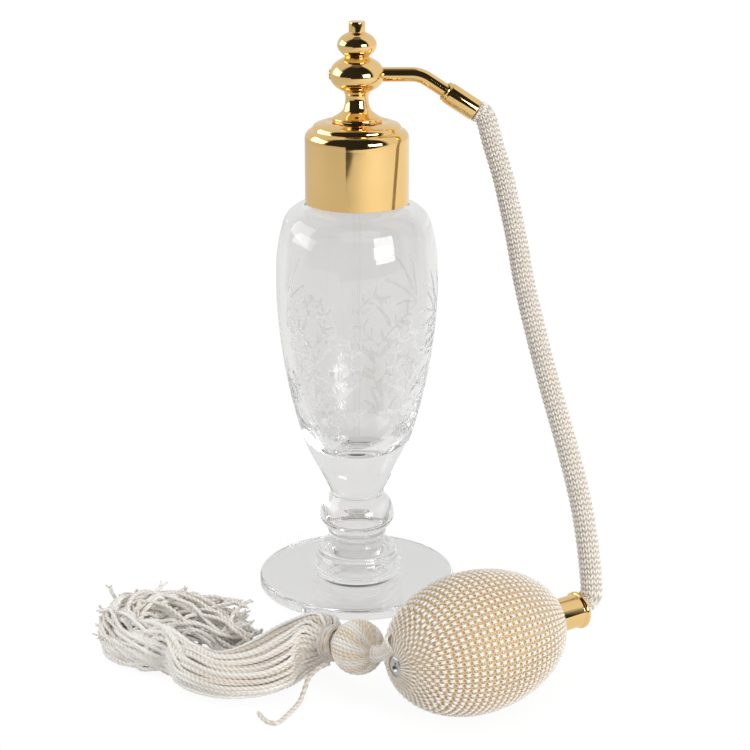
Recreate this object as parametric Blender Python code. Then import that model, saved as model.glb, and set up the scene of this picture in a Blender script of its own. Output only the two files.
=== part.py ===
"""Footed glass perfume bottle with a gilt spray head, an air hose, a netted squeeze bulb and a tassel.

Metres, +Z up. The origin is the middle of the foot's flat underside. The spray nozzle faces -X, the air
arm leaves along +X, and the hose comes down to the bulb, which lies beside the bottle with its tassel.
"""

import math

import bmesh
import bpy
from mathutils import Matrix, Vector

MM = 0.001

# Clearance between pieces that touch on the real object
GAP = 0.3 * MM

# Glass bottle
FOOT_RADIUS = 30.5 * MM
FOOT_EDGE = 3.2 * MM
FOOT_EDGE_ROUND = 0.5 * MM
STEM_RING_RADIUS = 11.9 * MM
STEM_RING_Z = 10.8 * MM
STEM_WAIST_RADIUS = 8.4 * MM
STEM_WAIST_Z = 15.6 * MM
KNOP_RADIUS = 11.45 * MM
KNOP_Z = 22.2 * MM
STEM_NECK_RADIUS = 7.9 * MM
STEM_NECK_Z = 30.2 * MM
BODY_RADIUS = 24.3 * MM
BODY_WIDEST_Z = 97.0 * MM
SHOULDER_Z = 121.9 * MM
GLASS_WALL = 3.0 * MM
CAVITY_FLOOR_Z = 44.5 * MM
NECK_RADIUS = 11.0 * MM
NECK_BORE = 8.0 * MM
NECK_HEIGHT = 16.6 * MM

# Threaded ring on the neck and threaded liner in the collar
RING_WALL = 0.9 * MM
RING_LIFT = 1.1 * MM
THREAD_PITCH = 2.0 * MM
THREAD_DEPTH = 0.5 * MM
THREAD_TURNS = 3.0
GASKET_THICK = 1.5 * MM
GASKET_RADIUS = 12.0 * MM

# Screw collar
COLLAR_RADIUS = 15.4 * MM
COLLAR_WALL = 0.9 * MM
COLLAR_EDGE_ROUND = 1.9 * MM
COLLAR_PLATE = 0.9 * MM
COLLAR_BEAD = 1.9 * MM
COLLAR_DOME = 1.4 * MM
LINER_LIP = 1.1 * MM

# Stem plate and the tubes it carries
PLATE_RADIUS = 11.8 * MM
PLATE_THICK = 1.0 * MM
HUB_RADIUS = 5.0 * MM
HUB_ENTRY = 1.3 * MM
SPIGOT_RADIUS = 3.2 * MM
SPIGOT_LENGTH = 9.6 * MM
DIP_RADIUS = 1.45 * MM
DIP_BORE = 0.85 * MM
DIP_SOCKET = 7.8 * MM
DIP_FLOOR_GAP = 2.5 * MM
FEED_RADIUS = 0.85 * MM
FEED_BORE = 0.45 * MM

# Spray head, finial and nozzle
HEAD_FLANGE_RADIUS = 7.3 * MM
HEAD_FLANGE_THICK = 0.9 * MM
HEAD_WAIST_RADIUS = 3.8 * MM
HEAD_WAIST_RISE = 4.8 * MM
BALL_RADIUS = 8.1 * MM
BALL_HALF_HEIGHT = 5.25 * MM
BALL_RISE = 11.85 * MM
BALL_TOP_RADIUS = 4.2 * MM
FINIAL_RADIUS = 5.8 * MM
FINIAL_HALF_HEIGHT = 3.5 * MM
FINIAL_RISE = 3.8 * MM
STUB_RADIUS = 2.45 * MM
STUB_HEIGHT = 3.6 * MM
FINIAL_SPIGOT_RADIUS = 1.6 * MM
FINIAL_SPIGOT_LENGTH = 2.2 * MM
NOZZLE_RADIUS = 1.5 * MM
NOZZLE_HOLE = 0.45 * MM
NOZZLE_PROUD = 0.35 * MM

# Air arm and its ferrule
ARM_RADIUS = 2.1 * MM
ARM_BORE = 1.2 * MM
ARM_INNER_END = 3.0 * MM
ARM_BEND_X = 15.7 * MM
ARM_BEND_RADIUS = 9.0 * MM
ARM_DROOP = math.radians(33.0)
ARM_RUN = 5.9 * MM
FERRULE_RADIUS = 3.2 * MM
FERRULE_LENGTH = 10.8 * MM
FERRULE_SHOULDER = 1.2 * MM

# Squeeze bulb: a netted rubber egg lying on its side
BULB_CENTRE = Vector((31.4, -85.0, 19.5)) * MM
BULB_HEADING = math.radians(34.0)
BULB_RADIUS = 19.2 * MM
BULB_HALF_LENGTH = 26.6 * MM
NET_THICK = 1.15 * MM
RUBBER_WALL = 1.8 * MM
NET_NECK_RADIUS = 4.4 * MM
NET_NECK_END = 28.6 * MM
RUBBER_NECK_RADIUS = 3.6 * MM
RUBBER_NECK_LENGTH = 3.9 * MM
BULB_FERRULE_RADIUS = 4.65 * MM
BULB_FERRULE_LENGTH = 8.6 * MM
BULB_FERRULE_WALL = 0.45 * MM
BULB_RIM_ROUND = 0.75 * MM
NIPPLE_RADIUS = 1.9 * MM
NIPPLE_BORE = 1.2 * MM
NIPPLE_LENGTH = 5.4 * MM
HOSE_ENTRY = 4.2 * MM
HOSE_STRAIGHT = 2.0 * MM

# Intake valve at the bulb's tail
VALVE_FLANGE_RADIUS = 4.2 * MM
VALVE_FLANGE_THICK = 0.65 * MM
VALVE_SHANK_RADIUS = 2.6 * MM
VALVE_LENGTH = 6.15 * MM
VALVE_HOLE = 0.9 * MM
VALVE_CHAMBER = 2.0 * MM
VALVE_SEAT = 1.8 * MM
VALVE_BALL_RADIUS = 1.4 * MM
VALVE_RETAINER_THICK = 1.0 * MM

# Air hose: outside radius and the route of its middle line, from the arm ferrule to the bulb ferrule
HOSE_RADIUS = 3.15 * MM
HOSE_STEP = 3.2 * MM
HOSE_ROUTE_MM = (
    (39.9, -2.2, 139.4),
    (42.6, -5.4, 131.0),
    (44.6, -9.2, 122.6),
    (46.6, -13.4, 113.2),
    (48.3, -18.4, 103.5),
    (51.3, -25.6, 90.6),
    (55.3, -33.8, 75.8),
    (59.4, -42.0, 62.0),
    (62.9, -50.0, 48.6),
    (64.8, -56.2, 37.6),
)
HOSE_BEND_RADIUS = 6.6 * MM
HOSE_BEND_ANGLES = (78.0, 52.0, 26.0, 0.0)

# Tassel
TASSEL_HINGE_OUT = 2.25 * MM
TASSEL_HINGE_SPREAD = 6.6 * MM
TASSEL_NECK_RADIUS = 1.9 * MM
TASSEL_NECK_FLARE = 2.5 * MM
TASSEL_BALL_CENTRE = Vector((0.3, -79.7, 15.5)) * MM
TASSEL_BALL_RADIUS = 7.6 * MM
TASSEL_BALL_HEADING = Vector((-0.655, 0.72, -0.234))
TASSEL_WAIST_RADIUS = 3.6 * MM
TASSEL_WAIST_END = 13.1 * MM
BINDING_RADIUS = 0.65 * MM
BINDING_PITCH = 1.8 * MM
BINDING_TURNS = 2.5
BINDING_START = 7.95 * MM
BINDING_LOOP_COUNT = 24
SKIRT_FLUTES = 11
SKIRT_FLUTE_DEPTH = 0.04
# Each row: middle of the section in mm, heading in degrees, half width and half height in mm
SKIRT_SECTIONS = (
    (-11.6, -67.0, 12.0, 148.0, 7.2, 6.6),
    (-15.2, -65.6, 11.0, 168.0, 9.3, 7.8),
    (-20.6, -67.6, 9.2, 190.0, 10.3, 7.8),
    (-28.6, -72.4, 7.6, 200.0, 9.8, 6.8),
    (-38.4, -75.8, 6.6, 186.0, 9.5, 5.9),
    (-47.0, -72.0, 6.6, 152.0, 10.5, 5.9),
    (-52.0, -62.5, 6.9, 120.0, 15.0, 6.2),
    (-54.0, -52.5, 7.2, 100.0, 21.5, 6.5),
    (-54.5, -43.0, 7.4, 92.0, 24.0, 6.7),
    (-56.0, -33.0, 7.2, 90.0, 20.5, 6.4),
    (-58.0, -24.5, 6.6, 90.0, 14.5, 5.4),
    (-59.0, -19.5, 6.0, 90.0, 7.0, 3.0),
)
TAIL_RADIUS = 0.7 * MM
TAIL_STEP = 2.5 * MM
TAIL_ROUTE_MM = (
    (-7.6, -77.5, 9.6),
    (-10.8, -79.0, 8.6),
    (-13.2, -80.0, 6.4),
    (-14.6, -82.0, 3.2),
    (-15.8, -84.8, 1.3),
    (-18.6, -91.0, 1.0),
    (-21.3, -95.8, 1.0),
    (-24.2, -94.9, 1.0),
    (-26.7, -90.3, 1.0),
)

# Facets round the turned pieces
LARGE_FACET_COUNT = 36
MEDIUM_FACET_COUNT = 24
SMALL_FACET_COUNT = 16
TUBE_FACET_COUNT = 12

# Heights that follow from the sizes above, from the neck upwards
RIM_Z = SHOULDER_Z + NECK_HEIGHT
GASKET_Z = RIM_Z + GAP
PLATE_Z = GASKET_Z + GASKET_THICK + GAP
PLATE_TOP_Z = PLATE_Z + PLATE_THICK
LINER_LIP_Z = PLATE_TOP_Z + GAP
LINER_TOP_Z = LINER_LIP_Z + LINER_LIP
COLLAR_CEILING_Z = LINER_TOP_Z + GAP
COLLAR_EDGE_Z = COLLAR_CEILING_Z + COLLAR_PLATE
COLLAR_TOP_Z = COLLAR_EDGE_Z + COLLAR_BEAD + COLLAR_DOME
HEAD_Z = COLLAR_TOP_Z + GAP
HUB_TOP_Z = HEAD_Z + HUB_ENTRY
BALL_Z = HEAD_Z + BALL_RISE
BALL_TOP_Z = BALL_Z + BALL_HALF_HEIGHT * math.sqrt(1.0 - (BALL_TOP_RADIUS / BALL_RADIUS) ** 2)
FINIAL_Z = BALL_TOP_Z + GAP
FINIAL_BALL_Z = FINIAL_Z + FINIAL_RISE

# Radii that follow from the sizes above
RING_BORE = NECK_RADIUS + GAP
RING_ROOT = RING_BORE + RING_WALL
LINER_CREST = RING_ROOT + THREAD_DEPTH + GAP
LINER_ROOT = LINER_CREST + THREAD_DEPTH
COLLAR_BORE = COLLAR_RADIUS - COLLAR_WALL
LINER_RADIUS = COLLAR_BORE - GAP
HUB_HOLE = HUB_RADIUS + GAP
DIP_SOCKET_RADIUS = DIP_RADIUS + GAP
FEED_HOLE = FEED_RADIUS + GAP
ARM_HOLE = ARM_RADIUS + GAP
VALVE_FIT = VALVE_SHANK_RADIUS + GAP
NIPPLE_FIT = NIPPLE_RADIUS + GAP

# Directions: along the drooping end of the arm, along the bulb towards its ferrule, and across the bulb
ARM_AIM = Vector((math.cos(ARM_DROOP), 0.0, -math.sin(ARM_DROOP)))
BULB_AIM = Vector((math.cos(BULB_HEADING), math.sin(BULB_HEADING), 0.0))
BULB_SIDE = Vector((-math.sin(BULB_HEADING), math.cos(BULB_HEADING), 0.0))
UP = Vector((0.0, 0.0, 1.0))


def clear_scene():
    """Start from an empty scene."""
    for old in list(bpy.data.objects):
        bpy.data.objects.remove(old, do_unlink=True)


def make_material(name, colour, roughness, metallic=0.0, transmission=0.0):
    """A plain Principled material."""
    material = bpy.data.materials.new(name)
    material.use_nodes = True
    shader = material.node_tree.nodes["Principled BSDF"]
    shader.inputs["Base Color"].default_value = (*colour, 1.0)
    shader.inputs["Roughness"].default_value = roughness
    shader.inputs["Metallic"].default_value = metallic
    shader.inputs["Transmission Weight"].default_value = transmission
    material.diffuse_color = (*colour, 1.0)
    return material


def make_empty(name, place):
    """An empty that holds a group of pieces at its joint or axis."""
    empty = bpy.data.objects.new(name, None)
    empty.matrix_basis = place
    bpy.context.collection.objects.link(empty)
    return empty


def add_piece(name, data, material, place, holder):
    """Link an object with its own material under the empty that holds it."""
    piece = bpy.data.objects.new(name, data)
    data.materials.append(material)
    bpy.context.collection.objects.link(piece)
    piece.parent = holder
    piece.matrix_basis = holder.matrix_basis.inverted() @ place
    return piece


def mesh_from(bm, name, smooth_angle=35.0):
    """Finish a bmesh as a smooth-shaded mesh with outward faces."""
    bmesh.ops.recalc_face_normals(bm, faces=bm.faces)
    mesh = bpy.data.meshes.new(name)
    bm.to_mesh(mesh)
    bm.free()
    mesh.shade_smooth()
    mesh.set_sharp_from_angle(angle=math.radians(smooth_angle))
    return mesh


def frame_along(origin, aim, side):
    """A placement with local Z along aim and local X along side, squared up."""
    z_axis = aim.normalized()
    y_axis = z_axis.cross(side).normalized()
    x_axis = y_axis.cross(z_axis)
    rotation = Matrix((x_axis, y_axis, z_axis)).transposed().to_4x4()
    return Matrix.Translation(origin) @ rotation


def smooth_points(points, steps):
    """Points on a smooth curve through the given points, steps to each stretch."""
    ends = [2 * points[0] - points[1]] + list(points) + [2 * points[-1] - points[-2]]
    curve = []
    for index in range(1, len(ends) - 2):
        before, start, stop, after = ends[index - 1:index + 3]
        for step in range(steps):
            t = step / steps
            curve.append(0.5 * (
                2 * start
                + (stop - before) * t
                + (2 * before - 5 * start + 4 * stop - after) * t ** 2
                + (3 * start - before - 3 * stop + after) * t ** 3
            ))
    curve.append(points[-1].copy())
    return curve


def even_points(points, spacing):
    """Points about one spacing apart on a smooth curve through the given points."""
    fine = smooth_points(points, 40)
    lengths = [0.0]
    for first, second in zip(fine, fine[1:]):
        lengths.append(lengths[-1] + (second - first).length)
    count = max(2, round(lengths[-1] / spacing))
    even = []
    at = 0
    for step in range(count + 1):
        wanted = lengths[-1] * step / count
        while at < len(fine) - 2 and lengths[at + 1] < wanted:
            at += 1
        share = (wanted - lengths[at]) / (lengths[at + 1] - lengths[at])
        even.append(fine[at].lerp(fine[at + 1], min(1.0, share)))
    return even


def arc_points(height, radius, half_height, start, stop, steps):
    """Profile points on an ellipse about the axis, by angles from its underside upwards."""
    points = []
    for step in range(steps + 1):
        angle = start + (stop - start) * step / steps
        points.append((radius * math.sin(angle), height - half_height * math.cos(angle)))
    return points


def turned(name, profile, facets, sweep=2.0 * math.pi):
    """A solid of revolution about local Z from a loop of (radius, height) points."""
    bm = bmesh.new()
    full = sweep > 2.0 * math.pi - 1e-6
    columns = facets if full else facets + 1
    rings = []
    for radius, height in profile:
        if radius < 1e-9:
            rings.append([bm.verts.new((0.0, 0.0, height))] * columns)
            continue
        ring = []
        for column in range(columns):
            angle = sweep * column / facets
            ring.append(bm.verts.new((radius * math.cos(angle), radius * math.sin(angle), height)))
        rings.append(ring)
    for row, lower in enumerate(rings):
        upper = rings[(row + 1) % len(rings)]
        if lower[0] is lower[-1] and upper[0] is upper[-1]:
            continue
        for column in range(facets):
            after = (column + 1) % columns
            corners = [lower[column], lower[after], upper[after], upper[column]]
            unique = list(dict.fromkeys(corners))
            bm.faces.new(unique)
    if not full:
        bm.faces.new([ring[0] for ring in rings])
        bm.faces.new([ring[-1] for ring in rings])
    return mesh_from(bm, name)


def tube_mesh(name, points, side, outer, bore, facets):
    """A hollow tube along points that lie in the plane square to side."""
    bm = bmesh.new()
    outside = []
    inside = []
    for index, point in enumerate(points):
        behind = points[max(0, index - 1)]
        ahead = points[min(len(points) - 1, index + 1)]
        across = (ahead - behind).normalized().cross(side)
        for radius, rings in ((outer, outside), (bore, inside)):
            ring = []
            for facet in range(facets):
                angle = 2.0 * math.pi * facet / facets
                spoke = math.cos(angle) * side + math.sin(angle) * across
                ring.append(bm.verts.new(point + radius * spoke))
            rings.append(ring)
    walls = list(zip(outside, outside[1:])) + list(zip(inside, inside[1:]))
    walls += [(outside[0], inside[0]), (outside[-1], inside[-1])]
    for first, second in walls:
        for facet in range(facets):
            after = (facet + 1) % facets
            bm.faces.new((first[facet], first[after], second[after], second[facet]))
    return mesh_from(bm, name)


def cord_curve(name, points, radius, resolution):
    """A round cord along the points, with closed ends."""
    curve = bpy.data.curves.new(name, "CURVE")
    curve.dimensions = "3D"
    curve.bevel_depth = radius
    curve.bevel_resolution = resolution
    curve.use_fill_caps = True
    spline = curve.splines.new("POLY")
    spline.points.add(len(points) - 1)
    for spot, point in zip(spline.points, points):
        spot.co = (*point, 1.0)
    return curve


def thread_height(angle, height, start, stop):
    """How far a right-hand thread stands out at this place, from 0 to 1, fading at both ends."""
    turn = (height - start) / THREAD_PITCH - angle / (2.0 * math.pi)
    wave = 0.5 + 0.5 * math.cos(2.0 * math.pi * turn)
    fade = min(1.0, (height - start) / THREAD_PITCH, (stop - height) / THREAD_PITCH)
    return wave * max(0.0, fade)


def threaded_sleeve(name, root, depth, low, high, plain_profile, facets):
    """A sleeve with a helical ridge on one face and a plain turned profile for its other faces."""
    start = high - THREAD_PITCH * THREAD_TURNS
    rows = int(round(THREAD_TURNS * 5))
    heights = [low] + [start + (high - start) * row / rows for row in range(rows + 1)]
    bm = bmesh.new()
    rings = []
    for height in heights:
        ring = []
        for facet in range(facets):
            angle = 2.0 * math.pi * facet / facets
            ridge = thread_height(angle, height, start, high) if height >= start else 0.0
            radius = root + depth * ridge
            ring.append(bm.verts.new((radius * math.cos(angle), radius * math.sin(angle), height)))
        rings.append(ring)
    for radius, height in plain_profile:
        ring = []
        for facet in range(facets):
            angle = 2.0 * math.pi * facet / facets
            ring.append(bm.verts.new((radius * math.cos(angle), radius * math.sin(angle), height)))
        rings.append(ring)
    for row, lower in enumerate(rings):
        upper = rings[(row + 1) % len(rings)]
        for facet in range(facets):
            after = (facet + 1) % facets
            bm.faces.new((lower[facet], lower[after], upper[after], upper[facet]))
    return mesh_from(bm, name)


def cut(piece, cutter_name, radius, start, stop):
    """Drill a round hole through a piece, from start to stop in its own frame."""
    aim = stop - start
    bm = bmesh.new()
    bmesh.ops.create_cone(
        bm, cap_ends=True, segments=SMALL_FACET_COUNT, radius1=radius, radius2=radius, depth=aim.length
    )
    mesh = mesh_from(bm, cutter_name)
    cutter = bpy.data.objects.new(cutter_name, mesh)
    bpy.context.collection.objects.link(cutter)
    cutter.parent = piece
    cutter.matrix_basis = frame_along((start + stop) / 2, aim, Vector((0.0, 1.0, 0.0)))
    cutter.hide_render = True
    cutter.display_type = "WIRE"
    modifier = piece.modifiers.new(cutter_name, "BOOLEAN")
    modifier.operation = "DIFFERENCE"
    modifier.object = cutter


def profile_curve(points, steps):
    """A smooth profile through (radius, height) points."""
    return [(spot.x, spot.y) for spot in smooth_points([Vector(point) for point in points], steps)]


def ellipse_reach(radius, half_length, at_radius):
    """How far along its axis an ellipsoid's surface lies at a given radius."""
    return half_length * math.sqrt(1.0 - (at_radius / radius) ** 2)


def glass_profile():
    """Outside from the foot up to the rim, then the bore and the hollow down to its floor."""
    foot = [
        (0.0, 0.0),
        (FOOT_RADIUS - FOOT_EDGE_ROUND, 0.0),
        (FOOT_RADIUS, FOOT_EDGE_ROUND),
        (FOOT_RADIUS, FOOT_EDGE - FOOT_EDGE_ROUND),
    ]
    rise = STEM_RING_Z - FOOT_EDGE
    spread = FOOT_RADIUS - STEM_RING_RADIUS
    foot_top = profile_curve([
        (FOOT_RADIUS - FOOT_EDGE_ROUND, FOOT_EDGE),
        (STEM_RING_RADIUS + 0.5 * spread, FOOT_EDGE + 0.14 * rise),
        (STEM_RING_RADIUS + 0.18 * spread, FOOT_EDGE + 0.42 * rise),
        (STEM_RING_RADIUS, STEM_RING_Z),
    ], 2)
    stem = profile_curve([
        (STEM_RING_RADIUS, STEM_RING_Z),
        (0.25 * STEM_RING_RADIUS + 0.75 * STEM_WAIST_RADIUS, 0.25 * STEM_RING_Z + 0.75 * STEM_WAIST_Z),
        (STEM_WAIST_RADIUS, STEM_WAIST_Z),
    ], 2)
    knop = profile_curve([
        (STEM_WAIST_RADIUS, STEM_WAIST_Z),
        (0.2 * STEM_WAIST_RADIUS + 0.8 * KNOP_RADIUS, 0.5 * (STEM_WAIST_Z + KNOP_Z)),
        (KNOP_RADIUS, KNOP_Z),
        (0.3 * STEM_NECK_RADIUS + 0.7 * KNOP_RADIUS, 0.45 * KNOP_Z + 0.55 * STEM_NECK_Z),
        (STEM_NECK_RADIUS, STEM_NECK_Z),
    ], 2)
    swell = BODY_RADIUS - STEM_NECK_RADIUS
    climb = BODY_WIDEST_Z - STEM_NECK_Z
    top = SHOULDER_Z - BODY_WIDEST_Z
    body_shares = (
        (0.0, 0.0), (0.2, 0.1), (0.46, 0.23), (0.66, 0.385), (0.81, 0.55), (0.91, 0.7), (0.975, 0.85)
    )
    body = [(STEM_NECK_RADIUS + wide * swell, STEM_NECK_Z + high * climb) for wide, high in body_shares]
    shoulder = [
        (BODY_RADIUS, BODY_WIDEST_Z),
        (BODY_RADIUS * 0.985, BODY_WIDEST_Z + 0.4 * top),
        (BODY_RADIUS * 0.9, BODY_WIDEST_Z + 0.78 * top),
        (BODY_RADIUS * 0.78, BODY_WIDEST_Z + 0.93 * top),
        (BODY_RADIUS * 0.62, SHOULDER_Z),
    ]
    outside = profile_curve(body + shoulder, 2)
    neck = [
        (NECK_RADIUS, SHOULDER_Z),
        (NECK_RADIUS, RIM_Z),
        (NECK_BORE, RIM_Z),
        (NECK_BORE, SHOULDER_Z),
    ]
    deep = BODY_WIDEST_Z - CAVITY_FLOOR_Z
    inner = BODY_RADIUS - GLASS_WALL
    hollow = profile_curve([
        (NECK_BORE, SHOULDER_Z - 0.3 * GLASS_WALL),
        (0.55 * NECK_BORE + 0.45 * inner, SHOULDER_Z - 1.1 * GLASS_WALL),
        (0.14 * NECK_BORE + 0.86 * inner, BODY_WIDEST_Z + 0.68 * top),
        (inner, BODY_WIDEST_Z + 0.2 * top),
        (0.985 * inner, BODY_WIDEST_Z - 0.2 * deep),
        (0.87 * inner, BODY_WIDEST_Z - 0.52 * deep),
        (0.67 * inner, BODY_WIDEST_Z - 0.81 * deep),
        (0.4 * inner, BODY_WIDEST_Z - 0.965 * deep),
        (0.0, CAVITY_FLOOR_Z),
    ], 1)
    return foot + foot_top + stem[1:] + knop[1:] + outside[1:] + neck + hollow


def make_bottle(materials, holder):
    """The glass and the threaded ring on its neck."""
    here = holder.matrix_basis
    glass = turned("glass_bottle", glass_profile(), LARGE_FACET_COUNT)
    add_piece("glass_bottle", glass, materials["glass"], here, holder)
    low = SHOULDER_Z + RING_LIFT
    high = RIM_Z - RING_LIFT
    ring = threaded_sleeve(
        "neck_ring", RING_ROOT, THREAD_DEPTH, low, high, [(RING_BORE, high), (RING_BORE, low)],
        MEDIUM_FACET_COUNT
    )
    add_piece("neck_ring", ring, materials["brass"], here, holder)


def make_gasket(materials, holder):
    """The washer between the glass rim and the stem plate."""
    bore = NECK_BORE + GAP
    top = GASKET_Z + GASKET_THICK
    loop = [(bore, GASKET_Z), (GASKET_RADIUS, GASKET_Z), (GASKET_RADIUS, top), (bore, top)]
    washer = turned("neck_gasket", loop, MEDIUM_FACET_COUNT)
    add_piece("neck_gasket", washer, materials["seal"], holder.matrix_basis, holder)


def make_collar(materials, holder):
    """The gilt shell and its threaded liner."""
    here = holder.matrix_basis
    low = SHOULDER_Z + GAP
    round_low = COLLAR_EDGE_Z - COLLAR_EDGE_ROUND
    edge = []
    for step in range(5):
        angle = 0.5 * math.pi * step / 4
        radius = COLLAR_RADIUS - COLLAR_EDGE_ROUND * (1.0 - math.cos(angle))
        edge.append((radius, round_low + COLLAR_EDGE_ROUND * math.sin(angle)))
    bead_foot = COLLAR_RADIUS - COLLAR_EDGE_ROUND - GAP
    bead_z = COLLAR_EDGE_Z
    bead = [
        (bead_foot, bead_z),
        (bead_foot, bead_z + 0.45 * COLLAR_BEAD),
        (bead_foot - 0.3 * COLLAR_BEAD, bead_z + 0.8 * COLLAR_BEAD),
        (bead_foot - 0.9 * COLLAR_BEAD, bead_z + COLLAR_BEAD),
    ]
    dome_reach = bead[-1][0] - HUB_HOLE
    dome = [
        (HUB_HOLE + 0.85 * dome_reach, bead_z + COLLAR_BEAD + 0.45 * COLLAR_DOME),
        (HUB_HOLE + 0.5 * dome_reach, bead_z + COLLAR_BEAD + 0.85 * COLLAR_DOME),
        (HUB_HOLE, COLLAR_TOP_Z),
    ]
    inside = [
        (HUB_HOLE, COLLAR_CEILING_Z),
        (COLLAR_BORE - COLLAR_WALL, COLLAR_CEILING_Z),
        (COLLAR_BORE, COLLAR_CEILING_Z - COLLAR_WALL),
        (COLLAR_BORE, low),
    ]
    shell = turned("screw_collar", [(COLLAR_RADIUS, low)] + edge + bead + dome + inside, LARGE_FACET_COUNT)
    add_piece("screw_collar", shell, materials["gilt"], here, holder)
    liner_low = low + GAP
    chamfer = COLLAR_WALL + GAP
    thread_top = RIM_Z - RING_LIFT
    around = [
        (LINER_ROOT, LINER_LIP_Z),
        (HUB_HOLE + GAP, LINER_LIP_Z),
        (HUB_HOLE + GAP, LINER_TOP_Z),
        (LINER_RADIUS - chamfer, LINER_TOP_Z),
        (LINER_RADIUS, LINER_TOP_Z - chamfer),
        (LINER_RADIUS, liner_low),
    ]
    liner = threaded_sleeve(
        "collar_liner", LINER_ROOT, -THREAD_DEPTH, liner_low, thread_top, around, MEDIUM_FACET_COUNT
    )
    add_piece("collar_liner", liner, materials["brass"], here, holder)


def make_stem(materials, holder):
    """The plate that the collar clamps, with the dip tube below and the feed tube above."""
    here = holder.matrix_basis
    spigot_z = PLATE_Z - SPIGOT_LENGTH
    socket_top = spigot_z + DIP_SOCKET
    plate = turned("stem_plate", [
        (DIP_SOCKET_RADIUS, spigot_z),
        (SPIGOT_RADIUS, spigot_z),
        (SPIGOT_RADIUS, PLATE_Z),
        (PLATE_RADIUS, PLATE_Z),
        (PLATE_RADIUS, PLATE_TOP_Z),
        (HUB_RADIUS, PLATE_TOP_Z),
        (HUB_RADIUS, HUB_TOP_Z),
        (FEED_HOLE, HUB_TOP_Z),
        (FEED_HOLE, socket_top),
        (DIP_SOCKET_RADIUS, socket_top),
    ], MEDIUM_FACET_COUNT)
    add_piece("stem_plate", plate, materials["brass"], here, holder)
    dip_low = CAVITY_FLOOR_Z + DIP_FLOOR_GAP
    dip_top = socket_top - GAP
    dip = turned("dip_tube", [
        (DIP_BORE, dip_low), (DIP_RADIUS, dip_low), (DIP_RADIUS, dip_top), (DIP_BORE, dip_top)
    ], SMALL_FACET_COUNT)
    add_piece("dip_tube", dip, materials["clear_plastic"], here, holder)
    feed_low = socket_top
    feed_top = BALL_Z - NOZZLE_RADIUS
    feed = turned("feed_tube", [
        (FEED_BORE, feed_low), (FEED_RADIUS, feed_low), (FEED_RADIUS, feed_top), (FEED_BORE, feed_top)
    ], SMALL_FACET_COUNT)
    add_piece("feed_tube", feed, materials["brass"], here, holder)


def make_head(materials, holder):
    """The gilt head with its finial and nozzle."""
    here = holder.matrix_basis
    waist_z = HEAD_Z + HEAD_WAIST_RISE
    drop = HEAD_FLANGE_RADIUS - HEAD_WAIST_RADIUS
    flare_z = HEAD_Z + HEAD_FLANGE_THICK
    run = waist_z - flare_z
    neck_angle = math.asin(min(0.95, 1.25 * HEAD_WAIST_RADIUS / BALL_RADIUS))
    top_angle = math.pi - math.asin(BALL_TOP_RADIUS / BALL_RADIUS)
    flare = profile_curve([
        (HEAD_FLANGE_RADIUS - 0.08 * drop, flare_z),
        (HEAD_WAIST_RADIUS + 0.34 * drop, flare_z + 0.3 * run),
        (HEAD_WAIST_RADIUS + 0.06 * drop, flare_z + 0.68 * run),
        (HEAD_WAIST_RADIUS, waist_z),
    ], 2)
    ball = arc_points(BALL_Z, BALL_RADIUS, BALL_HALF_HEIGHT, neck_angle, top_angle, 10)
    finial_hole = FINIAL_SPIGOT_RADIUS + GAP
    finial_hole_z = BALL_TOP_Z - FINIAL_SPIGOT_LENGTH - GAP
    socket_z = HUB_TOP_Z + GAP
    outside = [
        (HUB_HOLE, HEAD_Z),
        (HEAD_FLANGE_RADIUS, HEAD_Z),
        (HEAD_FLANGE_RADIUS, flare_z),
    ]
    passage = [
        (finial_hole, BALL_TOP_Z),
        (finial_hole, finial_hole_z),
        (FEED_HOLE, finial_hole_z),
        (FEED_HOLE, socket_z),
        (HUB_HOLE, socket_z),
    ]
    head = add_piece(
        "spray_head", turned("spray_head", outside + flare + ball + passage, MEDIUM_FACET_COUNT),
        materials["gilt"], here, holder,
    )
    centre = Vector((0.0, 0.0, BALL_Z))
    beyond = Vector((BALL_RADIUS + 2 * GAP, 0.0, 0.0))
    cut(head, "arm_hole", ARM_HOLE, centre, centre + beyond)
    cut(head, "nozzle_hole", NOZZLE_RADIUS + GAP, centre, centre - beyond)
    finial_low = math.asin(0.8 * BALL_TOP_RADIUS / FINIAL_RADIUS)
    finial_top = math.pi - math.asin(STUB_RADIUS / FINIAL_RADIUS)
    stub_z = FINIAL_BALL_Z + ellipse_reach(FINIAL_RADIUS, FINIAL_HALF_HEIGHT, STUB_RADIUS)
    finial = turned("finial_cap", [
        (0.0, FINIAL_Z - FINIAL_SPIGOT_LENGTH),
        (FINIAL_SPIGOT_RADIUS, FINIAL_Z - FINIAL_SPIGOT_LENGTH),
        (FINIAL_SPIGOT_RADIUS, FINIAL_Z),
        (BALL_TOP_RADIUS, FINIAL_Z),
    ] + arc_points(FINIAL_BALL_Z, FINIAL_RADIUS, FINIAL_HALF_HEIGHT, finial_low, finial_top, 10) + [
        (STUB_RADIUS, stub_z + STUB_HEIGHT - GAP),
        (STUB_RADIUS - GAP, stub_z + STUB_HEIGHT),
        (0.0, stub_z + STUB_HEIGHT),
    ], SMALL_FACET_COUNT)
    add_piece("finial_cap", finial, materials["gilt"], here, holder)
    nozzle_inner = FEED_HOLE + NOZZLE_RADIUS
    nozzle_outer = BALL_RADIUS + NOZZLE_PROUD
    nozzle = turned("spray_nozzle", [
        (NOZZLE_HOLE, nozzle_inner),
        (NOZZLE_RADIUS, nozzle_inner),
        (NOZZLE_RADIUS, nozzle_outer - GAP),
        (NOZZLE_RADIUS - GAP, nozzle_outer),
        (NOZZLE_HOLE, nozzle_outer),
    ], SMALL_FACET_COUNT)
    nozzle_place = frame_along(centre, Vector((-1.0, 0.0, 0.0)), UP)
    add_piece("spray_nozzle", nozzle, materials["gilt"], nozzle_place, holder)


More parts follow.
